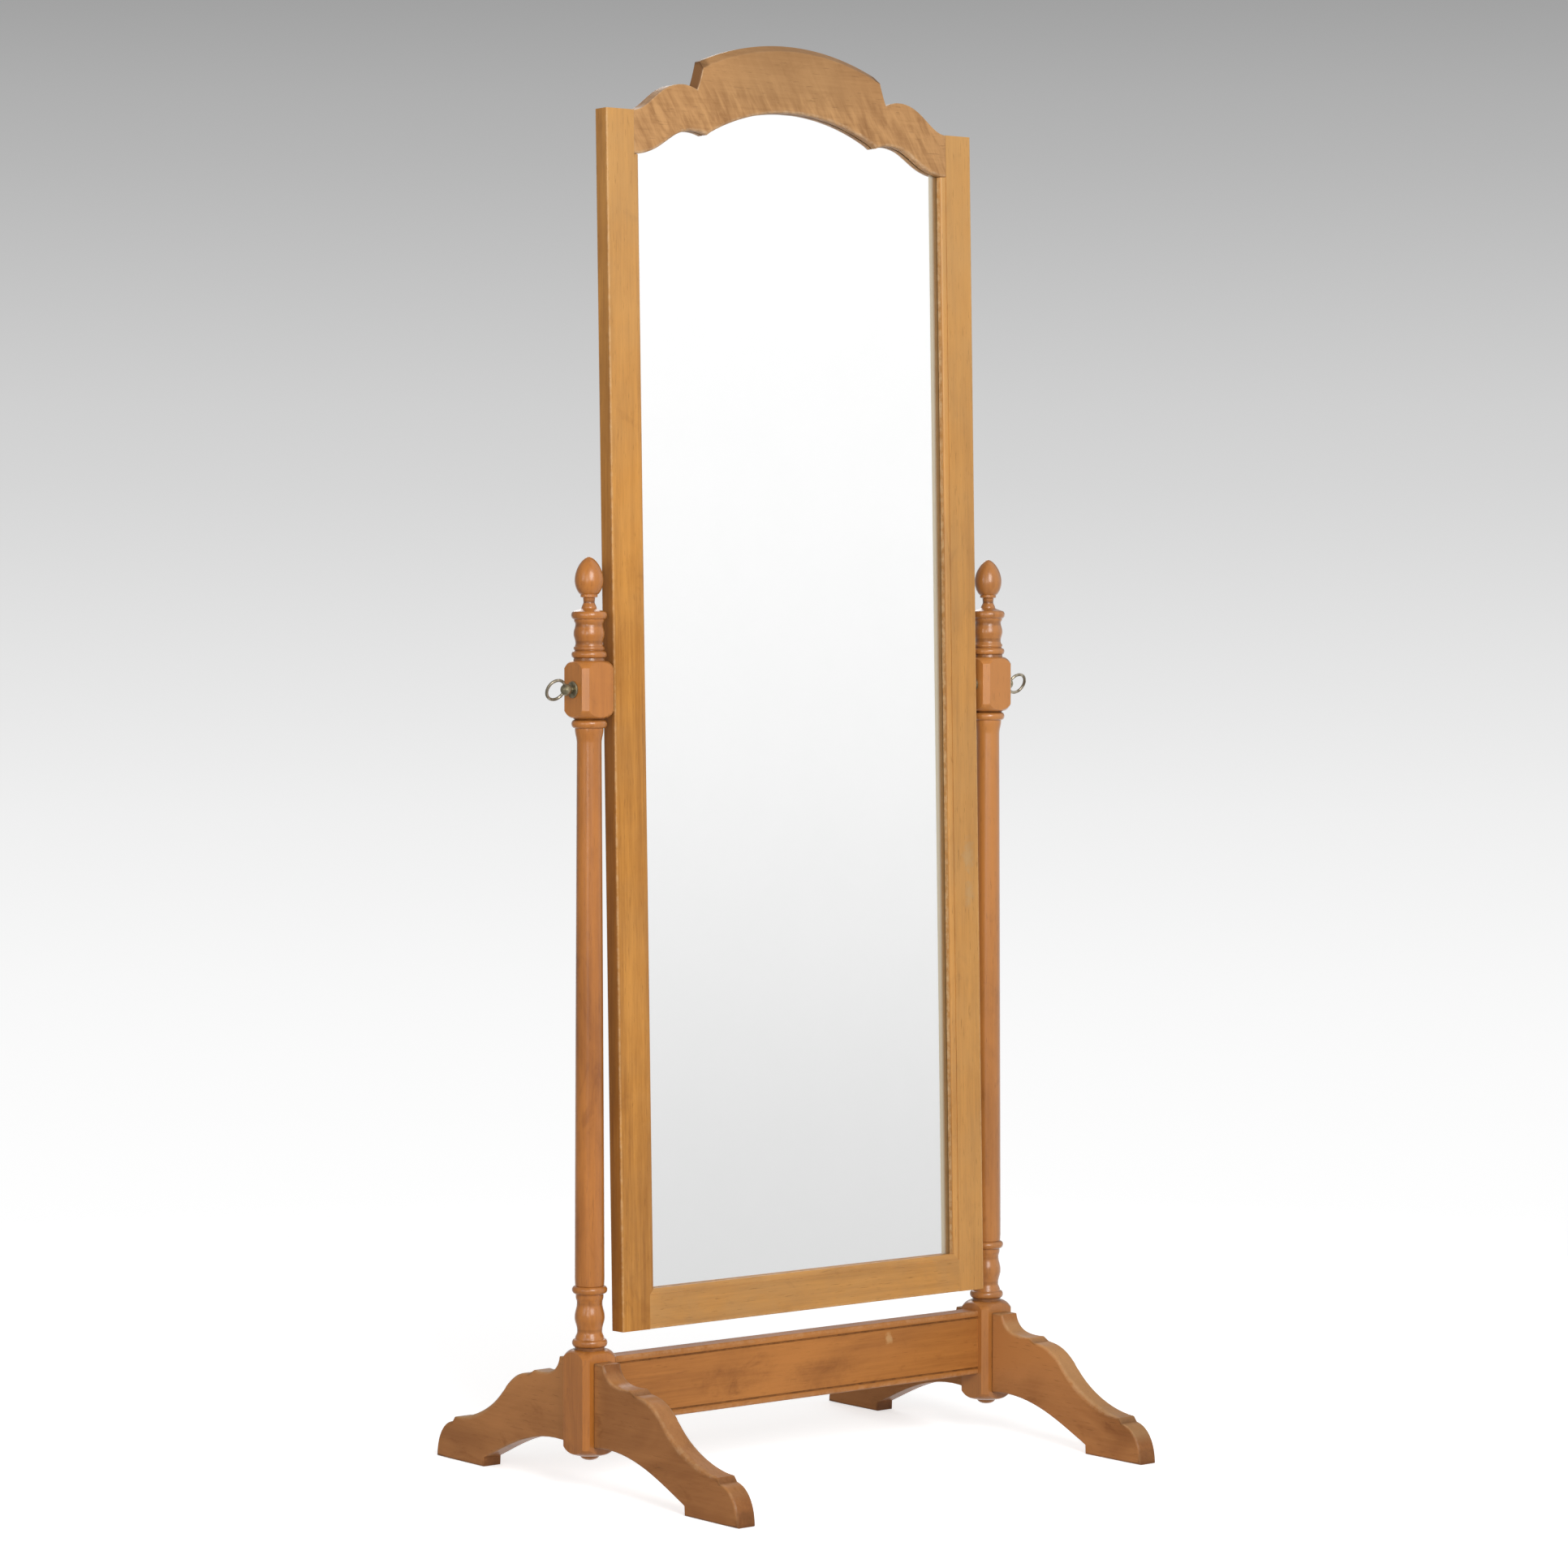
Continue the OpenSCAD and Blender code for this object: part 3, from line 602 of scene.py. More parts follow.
def stain(name, description, code):
    return FloatVectorProperty(name=name, description=description, subtype="COLOR", size=4,
                               min=0, max=1, default=linear(code))


def rounding(name, description, default, least, most):
    return FloatProperty(name=name, description=description, unit="LENGTH",
                         subtype="DISTANCE", default=default, min=least, max=most)


def power(name, description, watts):
    return FloatProperty(name=name, description=description, unit="POWER", default=watts,
                         min=0)


class WoodColours(PropertyGroup):
    """Stain colours of the wooden pieces."""

    post_light: stain("Post, light", "Lighter stain of the turned posts", "BB7633")
    post_dark: stain("Post, dark", "Darker stain of the turned posts", "854C1C")
    leg_light: stain("Legs, light", "Lighter stain of the legs", "B27845")
    leg_dark: stain("Legs, dark", "Darker stain of the legs", "7F4E27")
    stretcher_light: stain("Stretcher, light", "Lighter stain of the stretcher", "B67436")
    stretcher_dark: stain("Stretcher, dark", "Darker stain of the stretcher", "824B1D")
    frame_light: stain("Frame, light", "Lighter stain of stiles and rail", "CD8E41")
    frame_dark: stain("Frame, dark", "Darker stain of stiles and rail", "935D25")
    crest_light: stain("Crest, light", "Lighter stain of the crest", "C0915F")
    crest_dark: stain("Crest, dark", "Darker stain of the crest", "8A5F38")


class EdgeSizes(PropertyGroup):
    """How far the arrises are rounded over."""

    leg_round: rounding("Leg arris", "Rounding of the legs' long edges",
                        0.0022, 0.0005, 0.004)
    frame_round: rounding("Frame arris", "Rounding of the frame's outer edges",
                          0.0013, 0.0003, 0.002)
    crest_under_round: rounding("Crest under-edge", "Rounding of the crest's under-edge",
                                0.003, 0.0005, 0.004)


class StudioLight(PropertyGroup):
    """Levels of the studio."""

    key: power("Key light", "Power of the large light before the mirror", 106.0)
    fill: power("Fill light", "Power of the light at the left", 26.0)
    side: power("Side light", "Power of the light beside the camera", 30.0)
    back: power("Back light", "Power of the light behind the mirror", 30.0)
    room: FloatProperty(name="Room", description="Level of the even light from all round",
                        default=0.36, min=0)


# Posts


def foot_profile():
    """The drop under a post. Each profile gives radii with their heights."""
    turns = [pi / 2 * i / 10 for i in range(11)]
    drop = [(DROP_R * sin(a), BASE_BOTTOM - 1.5 - DROP_HEIGHT * cos(a)) for a in turns]
    return [*drop, (16.5, BASE_BOTTOM)]


def shaft_profile():
    taper = [(16.9 - 2.9 * t**1.15, SHAFT_FOOT + SHAFT_LENGTH * t)
             for t in (i / 14 for i in range(15))]
    return [*bead(17, 20.1, 163, 171.5), *ease(16.6, 172, 14.2, 180, 6),
            *ease(14.3, 181.5, 17.1, 196), *ease(17.0, 197.5, 14.5, 212),
            *ease(14.6, 214, 15.8, 219, 5), (15.8, 222), *bead(15.8, 20.1, 223, 232),
            (16.5, 232.5), *taper, *ease(14.0, 846, 16.2, 861.5, 8),
            *bead(16.2, 20.1, 862.5, 872)]


def finial_profile():
    low = [EGG_BELOW * i / 10 for i in range(-10, 1)]
    high = [EGG_ABOVE * (1 - (1 - i / 14) ** 1.5) for i in range(1, 15)]
    egg = [(EGG_R * sqrt(1 - (h / 20.6) ** 2), EGG_Z + h) for h in low]
    egg += [(EGG_R * max(0.0, 1 - (h / EGG_ABOVE) ** 1.8) ** 0.62, EGG_Z + h) for h in high]
    return [*bead(17.2, 19.9, 941.5, 949), (16.3, 949.8), *bead(16.2, 17.5, 950.2, 954.4, 8),
            *ease(15.9, 955, 15.3, 957.4, 4), *ease(15.4, 958, 17.5, 968.5, 9),
            *ease(17.4, 969.5, 15.5, 979, 9), (15.6, 980.5), (17, 983), (17, 984.5),
            *bead(17, 20.1, 985, 994), (12, 995.7), (9.7, 996.5),
            *ease(8.6, 997.5, 6.3, 1004.5, 8), (6.8, 1009), (9.6, 1010), (9.6, 1013), *egg]


def block_radius(angle, half):
    """Distance from the axis to the chamfered square in one direction."""
    chamfered = half * sqrt(2) - BLOCK_CHAMFER / sqrt(2)
    facings = [(cos(angle - pi / 4 * k), chamfered if k % 2 else half) for k in range(8)]
    return min(flat / facing for facing, flat in facings if facing > 0.05)


def block_columns(half):
    """Directions round a block, close together at its arrises."""
    edge = degrees(atan2(half - BLOCK_CHAMFER, half))
    side = [*np.linspace(-edge, edge, 13), *np.linspace(edge, 90 - edge, 5)]
    side += [way * (edge + d) for way in (-1, 1) for d in (-0.9, 0.9)]
    return {round(90 * k + a, 3) % 360 for k in range(4) for a in side}


def block_rings(angles, half, bottom, top, end_r, shoulder, steps=9):
    """Rings of a square block whose turned shoulders meet its flats in true curves."""
    reach = half * sqrt(2) - end_r
    radii = [block_radius(a, half) for a in angles]
    ends = [asin(min(1.0, (r - end_r) / reach)) for r in radii]
    rows = [[(end_r + reach * sin(e * i / steps), shoulder * (1 - cos(e * i / steps)))
             for e in ends] for i in range(steps + 1)]
    rows.append([(r, shoulder * (1 - cos(e)) + 0.8) for r, e in zip(radii, ends)])

    def ring(row, start, way):
        return [(r * cos(a), r * sin(a), start + way * rise)
                for a, (r, rise) in zip(angles, row)]

    return ([ring(row, bottom, 1) for row in rows]
            + [ring(row, top, -1) for row in reversed(rows)])


def post_rings():
    """All rings of a post on its own axis, from the drop to the finial."""
    columns = block_columns(BASE_HALF) | block_columns(PIVOT_HALF)
    angles = [radians(a) for a in sorted(columns)]

    def turned(profile):
        return [[(max(r, 0.02) * cos(a), max(r, 0.02) * sin(a), z) for a in angles]
                for r, z in profile]

    rings = turned(foot_profile())
    rings += block_rings(angles, BASE_HALF, BASE_BOTTOM, BASE_TOP, end_r=17.0, shoulder=25.0)
    rings += turned([(17.0, BASE_TOP + 1)] + shaft_profile() + [(17.2, PIVOT_BOTTOM - 0.9)])
    rings += block_rings(angles, PIVOT_HALF, PIVOT_BOTTOM, PIVOT_TOP, end_r=17.8,
                         shoulder=28.0)
    rings += turned([(17.6, PIVOT_TOP + 1)] + finial_profile())
    return rings


def hollows(rings, reach=7.0):
    """How deep each ring lies under the rings beside it, for the painted shade in the quirks."""
    radius = np.array([np.hypot([p[0] for p in ring], [p[1] for p in ring]) for ring in rings])
    height = np.array([ring[0][2] for ring in rings])
    out = []
    for here, z in zip(radius, height):
        near = np.abs(height - z) < reach
        below, over = radius[near & (height <= z)], radius[near & (height >= z)]
        depth = np.minimum(below.max(0), over.max(0)) - here
        out.append(np.clip((depth - 0.3) / 2.0, 0, 1).tolist())
    return out


class CHEVAL_OT_posts(Operator):
    """Both turned posts, with their square blocks, rings and finials"""

    bl_idname = "cheval.posts"
    bl_label = "Turned posts"

    def execute(self, context):
        finish = wood("post_wood", stains(context, "post"), "z", blotch=0.8,
                      gloss=0.36, coat=1.0, own_figure=higher_paler, relief=0.03)
        rings = post_rings()
        for side, node in ((-1, "left_post"), (1, "right_post")):
            # painted shade in the quirks between the turnings
            build(node + "_turning", rings, "stand", [node], finish,
                  Matrix.Translation((side * POST_X * MM, 0, 0)), grime=hollows(rings))
        return {"FINISHED"}


# Legs and stretcher


def leg_outline():
    """Side outline of a leg, with how round its arris is worn at each point."""
    top, step, middle = (41.5, 147.5), (99, 120.5), (149, 97)
    toe, tip, heel = (248, 50.5), (252.5, 44.5), (189.5, 10.5)
    out = [(24, 147.5, 1), (32, 147.5, 1), (*top, 1)]

    def curve(p, q, r, s, count, worn):
        for i, (x, z) in enumerate(bezier(p, q, r, s, count)):
            hand = sin(pi * (i + 1) / count) ** 0.5 if i + 1 < count else 0.0
            out.append((x, z, 1 + (worn - 1) * hand))

    curve(top, (46.5, 130), (60, 124), (91, 125.5), 14, 1.6)
    out.append((*step, 0.6))
    curve(step, (124, 120.5), (137, 110), middle, 12, 1.8)
    out[-1] = (*middle, 1.8)
    curve(middle, (171, 74.5), (205, 55), toe, 16, 2.4)
    out.append((*tip, 0.8))
    curve(tip, (271, 42.5), (284, 25), (284, 0), 14, 1.2)
    out += [(260, 0, 0.6), (190, 0, 0.6), (*heel, 0.6)]
    curve(heel, (152.5, 25.5), (95, 61), (24, 51), 16, 1.0)
    return out


def slab_rings(outline, half, arris, steps=5):
    """Rings of a board seen from its edge: both faces' arrises are rounded over."""
    pts = np.array([p[:2] for p in outline], float)
    share = np.array([p[2] for p in outline], float)
    soft = arris * share
    aim = inward(pts)
    rings, worn = [], []

    def ring(inset, height, wear=0.0):
        flat = pts + aim * np.broadcast_to(inset, len(pts))[:, None]
        rings.append([(x, h, z) for (x, z), h in zip(flat, np.broadcast_to(height, len(pts)))])
        worn.append(np.clip(share * wear, 0, 1))

    def corner(side, order):
        for i in order:
            a = pi / 2 * i / steps
            wear = sin(2 * a) ** 0.5 if 0 < i < steps else 0.25
            ring(soft * (1 - sin(a)), side * (half - soft * (1 - cos(a))), 0.6 * wear)

    ring(soft + SUPPORT, -half)
    corner(-1, range(steps + 1))
    ring(0.0, -half + soft + SUPPORT)
    ring(0.0, half - soft - SUPPORT)
    corner(1, range(steps, -1, -1))
    ring(soft + SUPPORT, half)
    return rings, worn


def leg_shade_paint(rings):
    """Painted shade at the joint with the post, under the little steps and along the ground."""
    unshaded_face = [0.0] * len(rings[0])
    reach = max(p[0] for ring in rings for p in ring)
    out = [unshaded_face]
    for ring in rings[1:-1]:
        row = []
        for x, _, z in ring:
            near = min(dist((x, z), (97, 121)), dist((x, z), (251, 46)))
            shaded = exp(-((near / 4.5) ** 2)) + 0.8 * max(0.0, 1 - z / 5)
            shaded += (x < 25) * 0.9 + (x > reach - 3) * 0.55
            shaded += 0.4 * exp(-(((x - 24) / 20) ** 2)) * (z > 90)
            row.append(min(1.0, shaded))
        out.append(row)
    return out + [unshaded_face]


class CHEVAL_OT_legs(Operator):
    """Four scrolled legs cut from one board outline"""

    bl_idname = "cheval.legs"
    bl_label = "Scrolled legs"

    def execute(self, context):
        finish = wood("leg_wood", stains(context, "leg"), "y", figure=0.22, blotch=0.8,
                      gloss=0.45, coat=0.2, worn_colour="BFA17C",
                      own_figure=uneven_legs)
        rings, worn = slab_rings(leg_outline(), LEG_HALF,
                                 context.scene.cheval_edges.leg_round / MM)
        # painted shade at the joint, under the steps and along the ground
        shade_paint = leg_shade_paint(rings)
        # the board is drawn along X and turned to the front or the back
        for side, hand in ((-1, "left"), (1, "right")):
            for turn, way in ((-90, "front"), (90, "rear")):
                place = Matrix.Translation((side * POST_X * MM, 0, 0))
                place = place @ Matrix.Rotation(radians(turn), 4, "Z")
                node = f"{way}_{hand}_leg"
                build(node + "_board", rings, "stand", [node], finish,
                      place, worn, shade_paint)
        return {"FINISHED"}


def stretcher_section(r=2.5):
    """Points of the stretcher's section, each with its wear and its painted shade."""
    half, low, high = STRETCHER_HALF, STRETCHER_LOW, STRETCHER_HIGH
    out = []

    def add(points, wear=0.0, shade_paint=0.0):
        out.extend((y, z, wear, shade_paint) for y, z in points)

    def groove(z):
        add([(-half, z + 1.6)])
        # painted shade inside the groove
        add(arc(-half, z, 0.9, 90, -90, 6), shade_paint=1.0)
        add([(-half, z - 1.6)])

    add(arc(half - r, low + r, r, -90, 0, 5), 0.7)
    add([(half, low + r + 1.5), (half, high - r - 1.5)])
    add(arc(half - r, high - r, r, 0, 90, 5), 0.7)
    add([(half - r - 1.5, high), (-half + r + 1.5, high)])
    add(arc(-half + r, high - r, r, 90, 180, 5), 0.9)
    groove(high - GROOVE_IN)
    groove(low + GROOVE_IN)
    add(arc(-half + r, low + r, r, 180, 270, 5), 0.9)
    add([(-half + r + 1.5, low), (half - r - 1.5, low)])
    return out


class CHEVAL_OT_stretcher(Operator):
    """The flat stretcher with a scratched line along both edges"""

    bl_idname = "cheval.stretcher"
    bl_label = "Stretcher"

    def execute(self, context):
        finish = wood("stretcher_wood", stains(context, "stretcher"), "x",
                      figure=0.4, blotch=0.9, coat=0.2, worn_colour="C9A27A",
                      own_figure=stained_rail)
        section = stretcher_section()
        near_end, third = STRETCHER_END - 1.5, STRETCHER_END / 3
        rings = [[(x, y, z) for y, z, _, _ in section]
                 for x in (-STRETCHER_END, -near_end, -third, third, near_end, STRETCHER_END)]
        build("stretcher_board", rings, "stand", ["stretcher"], finish, None,
              [[p[2] for p in section]] * len(rings), [[p[3] for p in section]] * len(rings))
        return {"FINISHED"}


# Mirror frame


def moulding_points(count=9):
    """The thumb moulding from the flat's edge to the lip: inward, below the face."""
    turns = [pi / 2 * i / count for i in range(count + 1)]
    return [(7.0 * sin(a), 0.8 + 2.4 * (1 - cos(a))) for a in turns]


def stile_rings(r):
    """Rings of the right-hand stile from its foot to its top, with the wear of each point."""
    outer = quarter(FRAME_HALF - r, BACK_Y - r, r, 90, 0, 0.8)
    outer += [(FRAME_HALF, BACK_Y - r - 1.5, 0.0), (FRAME_HALF, FACE_Y + r + 1.5, 0.0)]
    outer += quarter(FRAME_HALF - r, FACE_Y + r, r, 0, -90, 1.0)
    outer += [(FRAME_HALF - r - 1.6, FACE_Y, 0.0), (JOINT_X + 1.2, FACE_Y, 0.0),
              (JOINT_X, FACE_Y, 0.15)]
    inner = [(JOINT_X - across, FACE_Y + below, 0.1) for across, below in moulding_points()]
    inner += [(SIGHT_X, LIP_Y, 1.5), (SIGHT_X, GLASS_Y, 2.5),
              (GLASS_POCKET, GLASS_Y, 0.0), (GLASS_POCKET, PANEL_Y, 0.0)]

    def section(edge, wear):
        """The whole section with the panel's pocket as wide as it is given."""
        return outer + inner + [
            (edge, PANEL_Y, 0.0), (edge, BACK_Y - 0.3, wear), (edge + 0.3, BACK_Y, wear),
            (PANEL_POCKET + 2, BACK_Y, 0.0), (FRAME_HALF - r - 1.6, BACK_Y, 0.0)]

    opened, shut = section(PANEL_POCKET, 0.3), section(JOINT_X, 0.0)
    # the moulding's foot is mitred to the rail's, the rest of the stile runs past it
    foot = [RAIL_JOINT_Z + JOINT_X - p[0] if 0 <= i - len(outer) < len(inner) else -FRAME_BELOW
            for i, p in enumerate(shut)]
    # behind the crest the pocket ends in the glass's curve
    top = []
    for x, y, _ in opened:
        half = min(max(x, JOINT_X), PANEL_POCKET)
        curve = GLASS_CENTRE + sqrt(PANEL_POCKET_R**2 - half**2)
        top.append(curve if y >= PANEL_Y and x <= PANEL_POCKET + 0.4 else POCKET_END)
    rings, worn = [], []

    def add(points, heights, flush=False, wear=opened):
        """Adds a ring; a flush one has no moulding and no rebate."""
        heights = np.broadcast_to(heights, len(points))
        rings.append([(max(x, JOINT_X) if flush else x, y, z)
                      for (x, y, _), z in zip(points, heights)])
        worn.append([p[2] for p in wear])

    add(shut, -FRAME_BELOW, True, shut)
    add(shut, [RAIL_JOINT_Z if p[0] < JOINT_X else -FRAME_BELOW for p in shut], True, shut)
    add(shut, foot, False, shut)
    for points in (shut, opened):
        add(points, np.maximum(foot, GLASS_BOTTOM - PANEL_COVER - REBATE_GAP))
    for z in (-660.0, -330.0, 0.0, 300.0, 590.0, CREST_END):
        add(opened, z)
    add(opened, CREST_END, True)
    add(opened, top, True)
    add(shut, top, True)
    add(shut, FRAME_ABOVE - 1.6, True)
    add(shut, FRAME_ABOVE, True)
    return rings, worn


class CHEVAL_OT_stiles(Operator):
    """Both stiles, moulded inside and rebated at the back"""

    bl_idname = "cheval.stiles"
    bl_label = "Stiles"

    def execute(self, context):
        finish = wood("stile_wood", stains(context, "frame"), "z", figure=0.5,
                      blotch=0.5, worn_colour="D8B88C", own_figure=top_light_side_shade)
        rings, worn = stile_rings(context.scene.cheval_edges.frame_round / MM)
        for side, node in ((1, "right_stile"), (-1, "left_stile")):
            build(node + "_stick", [[(side * x, y, z) for x, y, z in ring] for ring in rings],
                  "mirror_frame", [node], finish, in_frame(), worn)
        return {"FINISHED"}


def rail_section(r):
    """Points of the bottom rail's section, each with its wear."""
    low = -FRAME_BELOW
    glass_low = GLASS_BOTTOM - REBATE_GAP
    panel_low = glass_low - PANEL_COVER
    out = quarter(FACE_Y + r, low + r, r, 180, 270, 1.0)
    out += [(FACE_Y + r + 1.5, low, 0.0), (BACK_Y - r - 1.5, low, 0.0)]
    out += quarter(BACK_Y - r, low + r, r, -90, 0, 0.8)
    out += [(BACK_Y, low + r + 1.5, 0.0), (BACK_Y, panel_low - 2, 0.0),
            (BACK_Y, panel_low - 0.3, 0.3), (BACK_Y - 0.3, panel_low, 0.3),
            (PANEL_Y, panel_low, 0.0), (PANEL_Y, glass_low, 0.0),
            (GLASS_Y, glass_low, 0.0), (GLASS_Y, SIGHT_Z, 0.0), (LIP_Y, SIGHT_Z, 0.2)]
    out += [(FACE_Y + below, RAIL_JOINT_Z + across, 0.1)
            for across, below in reversed(moulding_points())]
    return out + [(FACE_Y, RAIL_JOINT_Z, 0.15), (FACE_Y, RAIL_JOINT_Z - 1.2, 0.0),
                  (FACE_Y, low + r + 1.6, 0.0)]


class CHEVAL_OT_bottom_rail(Operator):
    """The bottom rail, its moulding mitred into the stiles"""

    bl_idname = "cheval.bottom_rail"
    bl_label = "Bottom rail"

    def execute(self, context):
        finish = wood("rail_wood", stains(context, "frame"), "x", figure=0.4,
                      blotch=0.75, worn_colour="D8B88C", own_figure=clouded)
        section = rail_section(context.scene.cheval_edges.frame_round / MM)

        def end(side):
            """The rail's end: its moulding is mitred, the rest is butted."""
            return [(side * (JOINT_X - max(0.0, z - RAIL_JOINT_Z) * (y <= GLASS_Y)), y, z)
                    for y, z, _ in section]

        rings = [end(-1)]
        rings += [[(x, y, z) for y, z, _ in section] for x in (-120.0, 0.0, 120.0)]
        rings += [end(1)]
        build("bottom_rail_stick", rings, "mirror_frame", ["bottom_rail"], finish,
              in_frame(), [[p[2] for p in section]] * len(rings))
        return {"FINISHED"}


# Crest


def crest_side(t):
    """The short side of the raised centre, from its corner down to the step."""
    return cubic(t, CORNER, (133, FRAME_ABOVE + 52.5), (137, FRAME_ABOVE + 38.5), VALLEY)


def crest_top_half(radius):
    """Right half of the upper edge from the middle to the shoulder, cut at a top radius."""
    low, high = 0.0, 0.9
    for _ in range(40):
        mid = (low + high) / 2
        x, z = crest_side(mid)
        low, high = (mid, high) if hypot(x, z - TOP_CENTRE) > radius else (low, mid)
    x, z = crest_side(low)
    end = degrees(atan2(z - TOP_CENTRE, x))
    out = arc(0, TOP_CENTRE, radius, 90, end, TOP_STEPS)[1:]
    out += [crest_side(low + (1 - low) * i / 7) for i in range(1, 8)]
    out += bezier(VALLEY, (147, LOBE[1] - 2.7), (153, LOBE[1]), LOBE, 8)
    out += bezier(LOBE, (197, LOBE[1]), (210, FRAME_ABOVE + 1), (JOINT_X, FRAME_ABOVE), 18)
    return out


def crest_under_half():
    """Right half of the under-edge from the joint to the middle."""
    lobe_z = FRAME_ABOVE - 18.5 - UNDER_LOBE_R
    cut = radians(UNDER_SLOPE)
    slope_x = UNDER_LOBE_X + UNDER_LOBE_R * sin(cut)
    slope_z = lobe_z + UNDER_LOBE_R * cos(cut)
    cove_top = CREST_END + COVE_R * (1 - cos(cut))
    cove_x = slope_x + (slope_z - cove_top) / tan(cut) + COVE_R * sin(cut)
    start = 270 - degrees(asin((cove_x - JOINT_X) / COVE_R))
    cusp = degrees(acos((UNDER_LOBE_X - CUSP_X) / UNDER_LOBE_R))
    out = arc(cove_x, CREST_END + COVE_R, COVE_R, start, 270 - UNDER_SLOPE, 14)
    out += arc(UNDER_LOBE_X, lobe_z, UNDER_LOBE_R, 90 - UNDER_SLOPE, 180 - cusp, 20)
    out += arc(0, ARCH_CENTRE, ARCH_R, degrees(acos(CUSP_X / ARCH_R)), 88, 20)[1:]
    return out


def both_halves(half, from_joint):
    """A half outline with its mirror image, put so that the points stay in order."""
    other = [(-x, z) for x, z in reversed(half)]
    return half + other if from_joint else other + half


def crest_rings(arris):
    """Rings of the crest from its face to its back, with their wear and their painted shade."""
    under = crest_under_half()
    front, back = (np.array(both_halves(crest_top_half(r), False) + both_halves(under, True))
                   for r in (TOP_R - BEVEL_HEIGHT, TOP_R))
    aim = inward(front)
    count = len(front)
    lows = slice(count - 2 * len(under), count)
    middle = (count - 2 * len(under)) // 2
    radius = np.full(count, 1.0)
    radius[lows] = arris
    raised = np.zeros(count)
    raised[middle - TOP_STEPS : middle + TOP_STEPS] = 1
    across, height = np.abs(front[:, 0]), front[:, 1]
    joint = across > JOINT_X - 0.01
    # painted shade on the short side walls of the raised centre
    shaded_wall = (height > VALLEY[1] + 1) & (height < CORNER[1] + 1) & (raised > 0)
    shaded_wall &= (across > CORNER[0] - 4) & (across < VALLEY[0] + 3)
    rings, worn, shade_paint = [], [], []

    def pocket(grow):
        r = GLASS_R + grow
        return both_halves([(x, GLASS_CENTRE + sqrt(r * r - x * x)) for x, _ in under], True)

    def add(inset, depth, wear=0.0, low=None, short=0.0, shaded=1.0):
        """Adds a ring some way in from the outline and some way behind the face."""
        depth = np.broadcast_to(depth, count)
        flat = front + (back - front) * np.minimum(1.0, depth / BEVEL_IN)[:, None]
        flat = flat + aim * np.minimum(inset, radius + SUPPORT)[:, None]
        flat[:, 0] = np.clip(flat[:, 0], -JOINT_X, JOINT_X)
        flat[joint, 0] = np.sign(front[joint, 0]) * (JOINT_X - short)
        if low is not None:
            flat[lows] = low
        rings.append([(x, FACE_Y + d, z) for (x, z), d in zip(flat, depth)])
        worn.append(np.broadcast_to(wear, count))
        shade_paint.append(shaded_wall * shaded)

    add(radius + SUPPORT, 0.0, short=0.4, shaded=0.0)
    for i in range(6):
        a = pi / 2 * i / 5
        inset, wear = 1 - sin(a), 1.0 if 0 < i < 5 else 0.3
        add(radius * inset, radius * (1 - cos(a)), wear * (1 - 0.85 * raised), None,
            0.4 * inset, min(1.0, a))
    glass, panel = GLASS_Y - FACE_Y, PANEL_Y - FACE_Y
    for depth in (4.4, glass - 0.2, glass):
        add(0.0, depth)
    for depth in (glass, BEVEL_IN, panel):
        add(0.0, depth, 0.0, pocket(REBATE_GAP))
    for inset, depth, wear in ((0.0, panel, 0.0), (0.0, CREST_THICK - 1.8, 0.0),
                               (0.0, CREST_THICK - 0.8, 0.6), (0.3, CREST_THICK - 0.25, 1.0),
                               (0.9, CREST_THICK, 0.6), (2.2, CREST_THICK, 0.0)):
        add(inset, depth, wear, pocket(PANEL_COVER + REBATE_GAP))
    return rings, worn, shade_paint


class CHEVAL_OT_crest(Operator):
    """The shaped crest with its bevelled centre and arched under-edge"""

    bl_idname = "cheval.crest"
    bl_label = "Crest"

    def execute(self, context):
        finish = wood("crest_wood", stains(context, "crest"), "x", figure=0.22,
                      blotch=0.45, worn_colour="DCC6A8", own_figure=curls)
        rings, worn, shade_paint = crest_rings(context.scene.cheval_edges.crest_under_round / MM)
        build("crest_board", rings, "mirror_frame", ["crest_rail"], finish,
              in_frame(), worn, shade_paint)
        return {"FINISHED"}


# Glass


class CHEVAL_OT_mirror_plate(Operator):
    """The clear plate and the silver on its back"""

    bl_idname = "cheval.mirror_plate"
    bl_label = "Mirror plate"

    def execute(self, context):
        side = degrees(acos(GLASS_HALF / GLASS_R))
        outline = arc(0, GLASS_CENTRE, GLASS_R, side, 180 - side, 48)
        outline += [(-GLASS_HALF, GLASS_BOTTOM), (GLASS_HALF, GLASS_BOTTOM)]
        # the silver is drawn where the bending of light in the plate makes it seem to be
        seen = GLASS_Y + 0.3 * GLASS_THICK

        def plate(front, back):
            return [[(x, y, z) for x, z in outline] for y in (front, back)]

        build("clear_plate", plate(GLASS_Y, seen - 0.02), "mirror_frame", ["mirror_glass"],
              clear_glass("clear_plate"), in_frame())
        build("silvered_back", plate(seen, GLASS_Y + GLASS_THICK), "mirror_frame", [],
              silver("silvered_back"), in_frame())
        return {"FINISHED"}


# Carried-over pieces


def finish_nodes(names, material):
    """Gives CAD nodes a better finish."""
    for name in names:
        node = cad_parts[name]
        if not node.data.materials:
            node.data.materials.append(material)
        for place in node.material_slots:
            place.material = material
        node.data.shade_smooth()
        node.data.set_sharp_from_angle(angle=SOLID_SHARP)


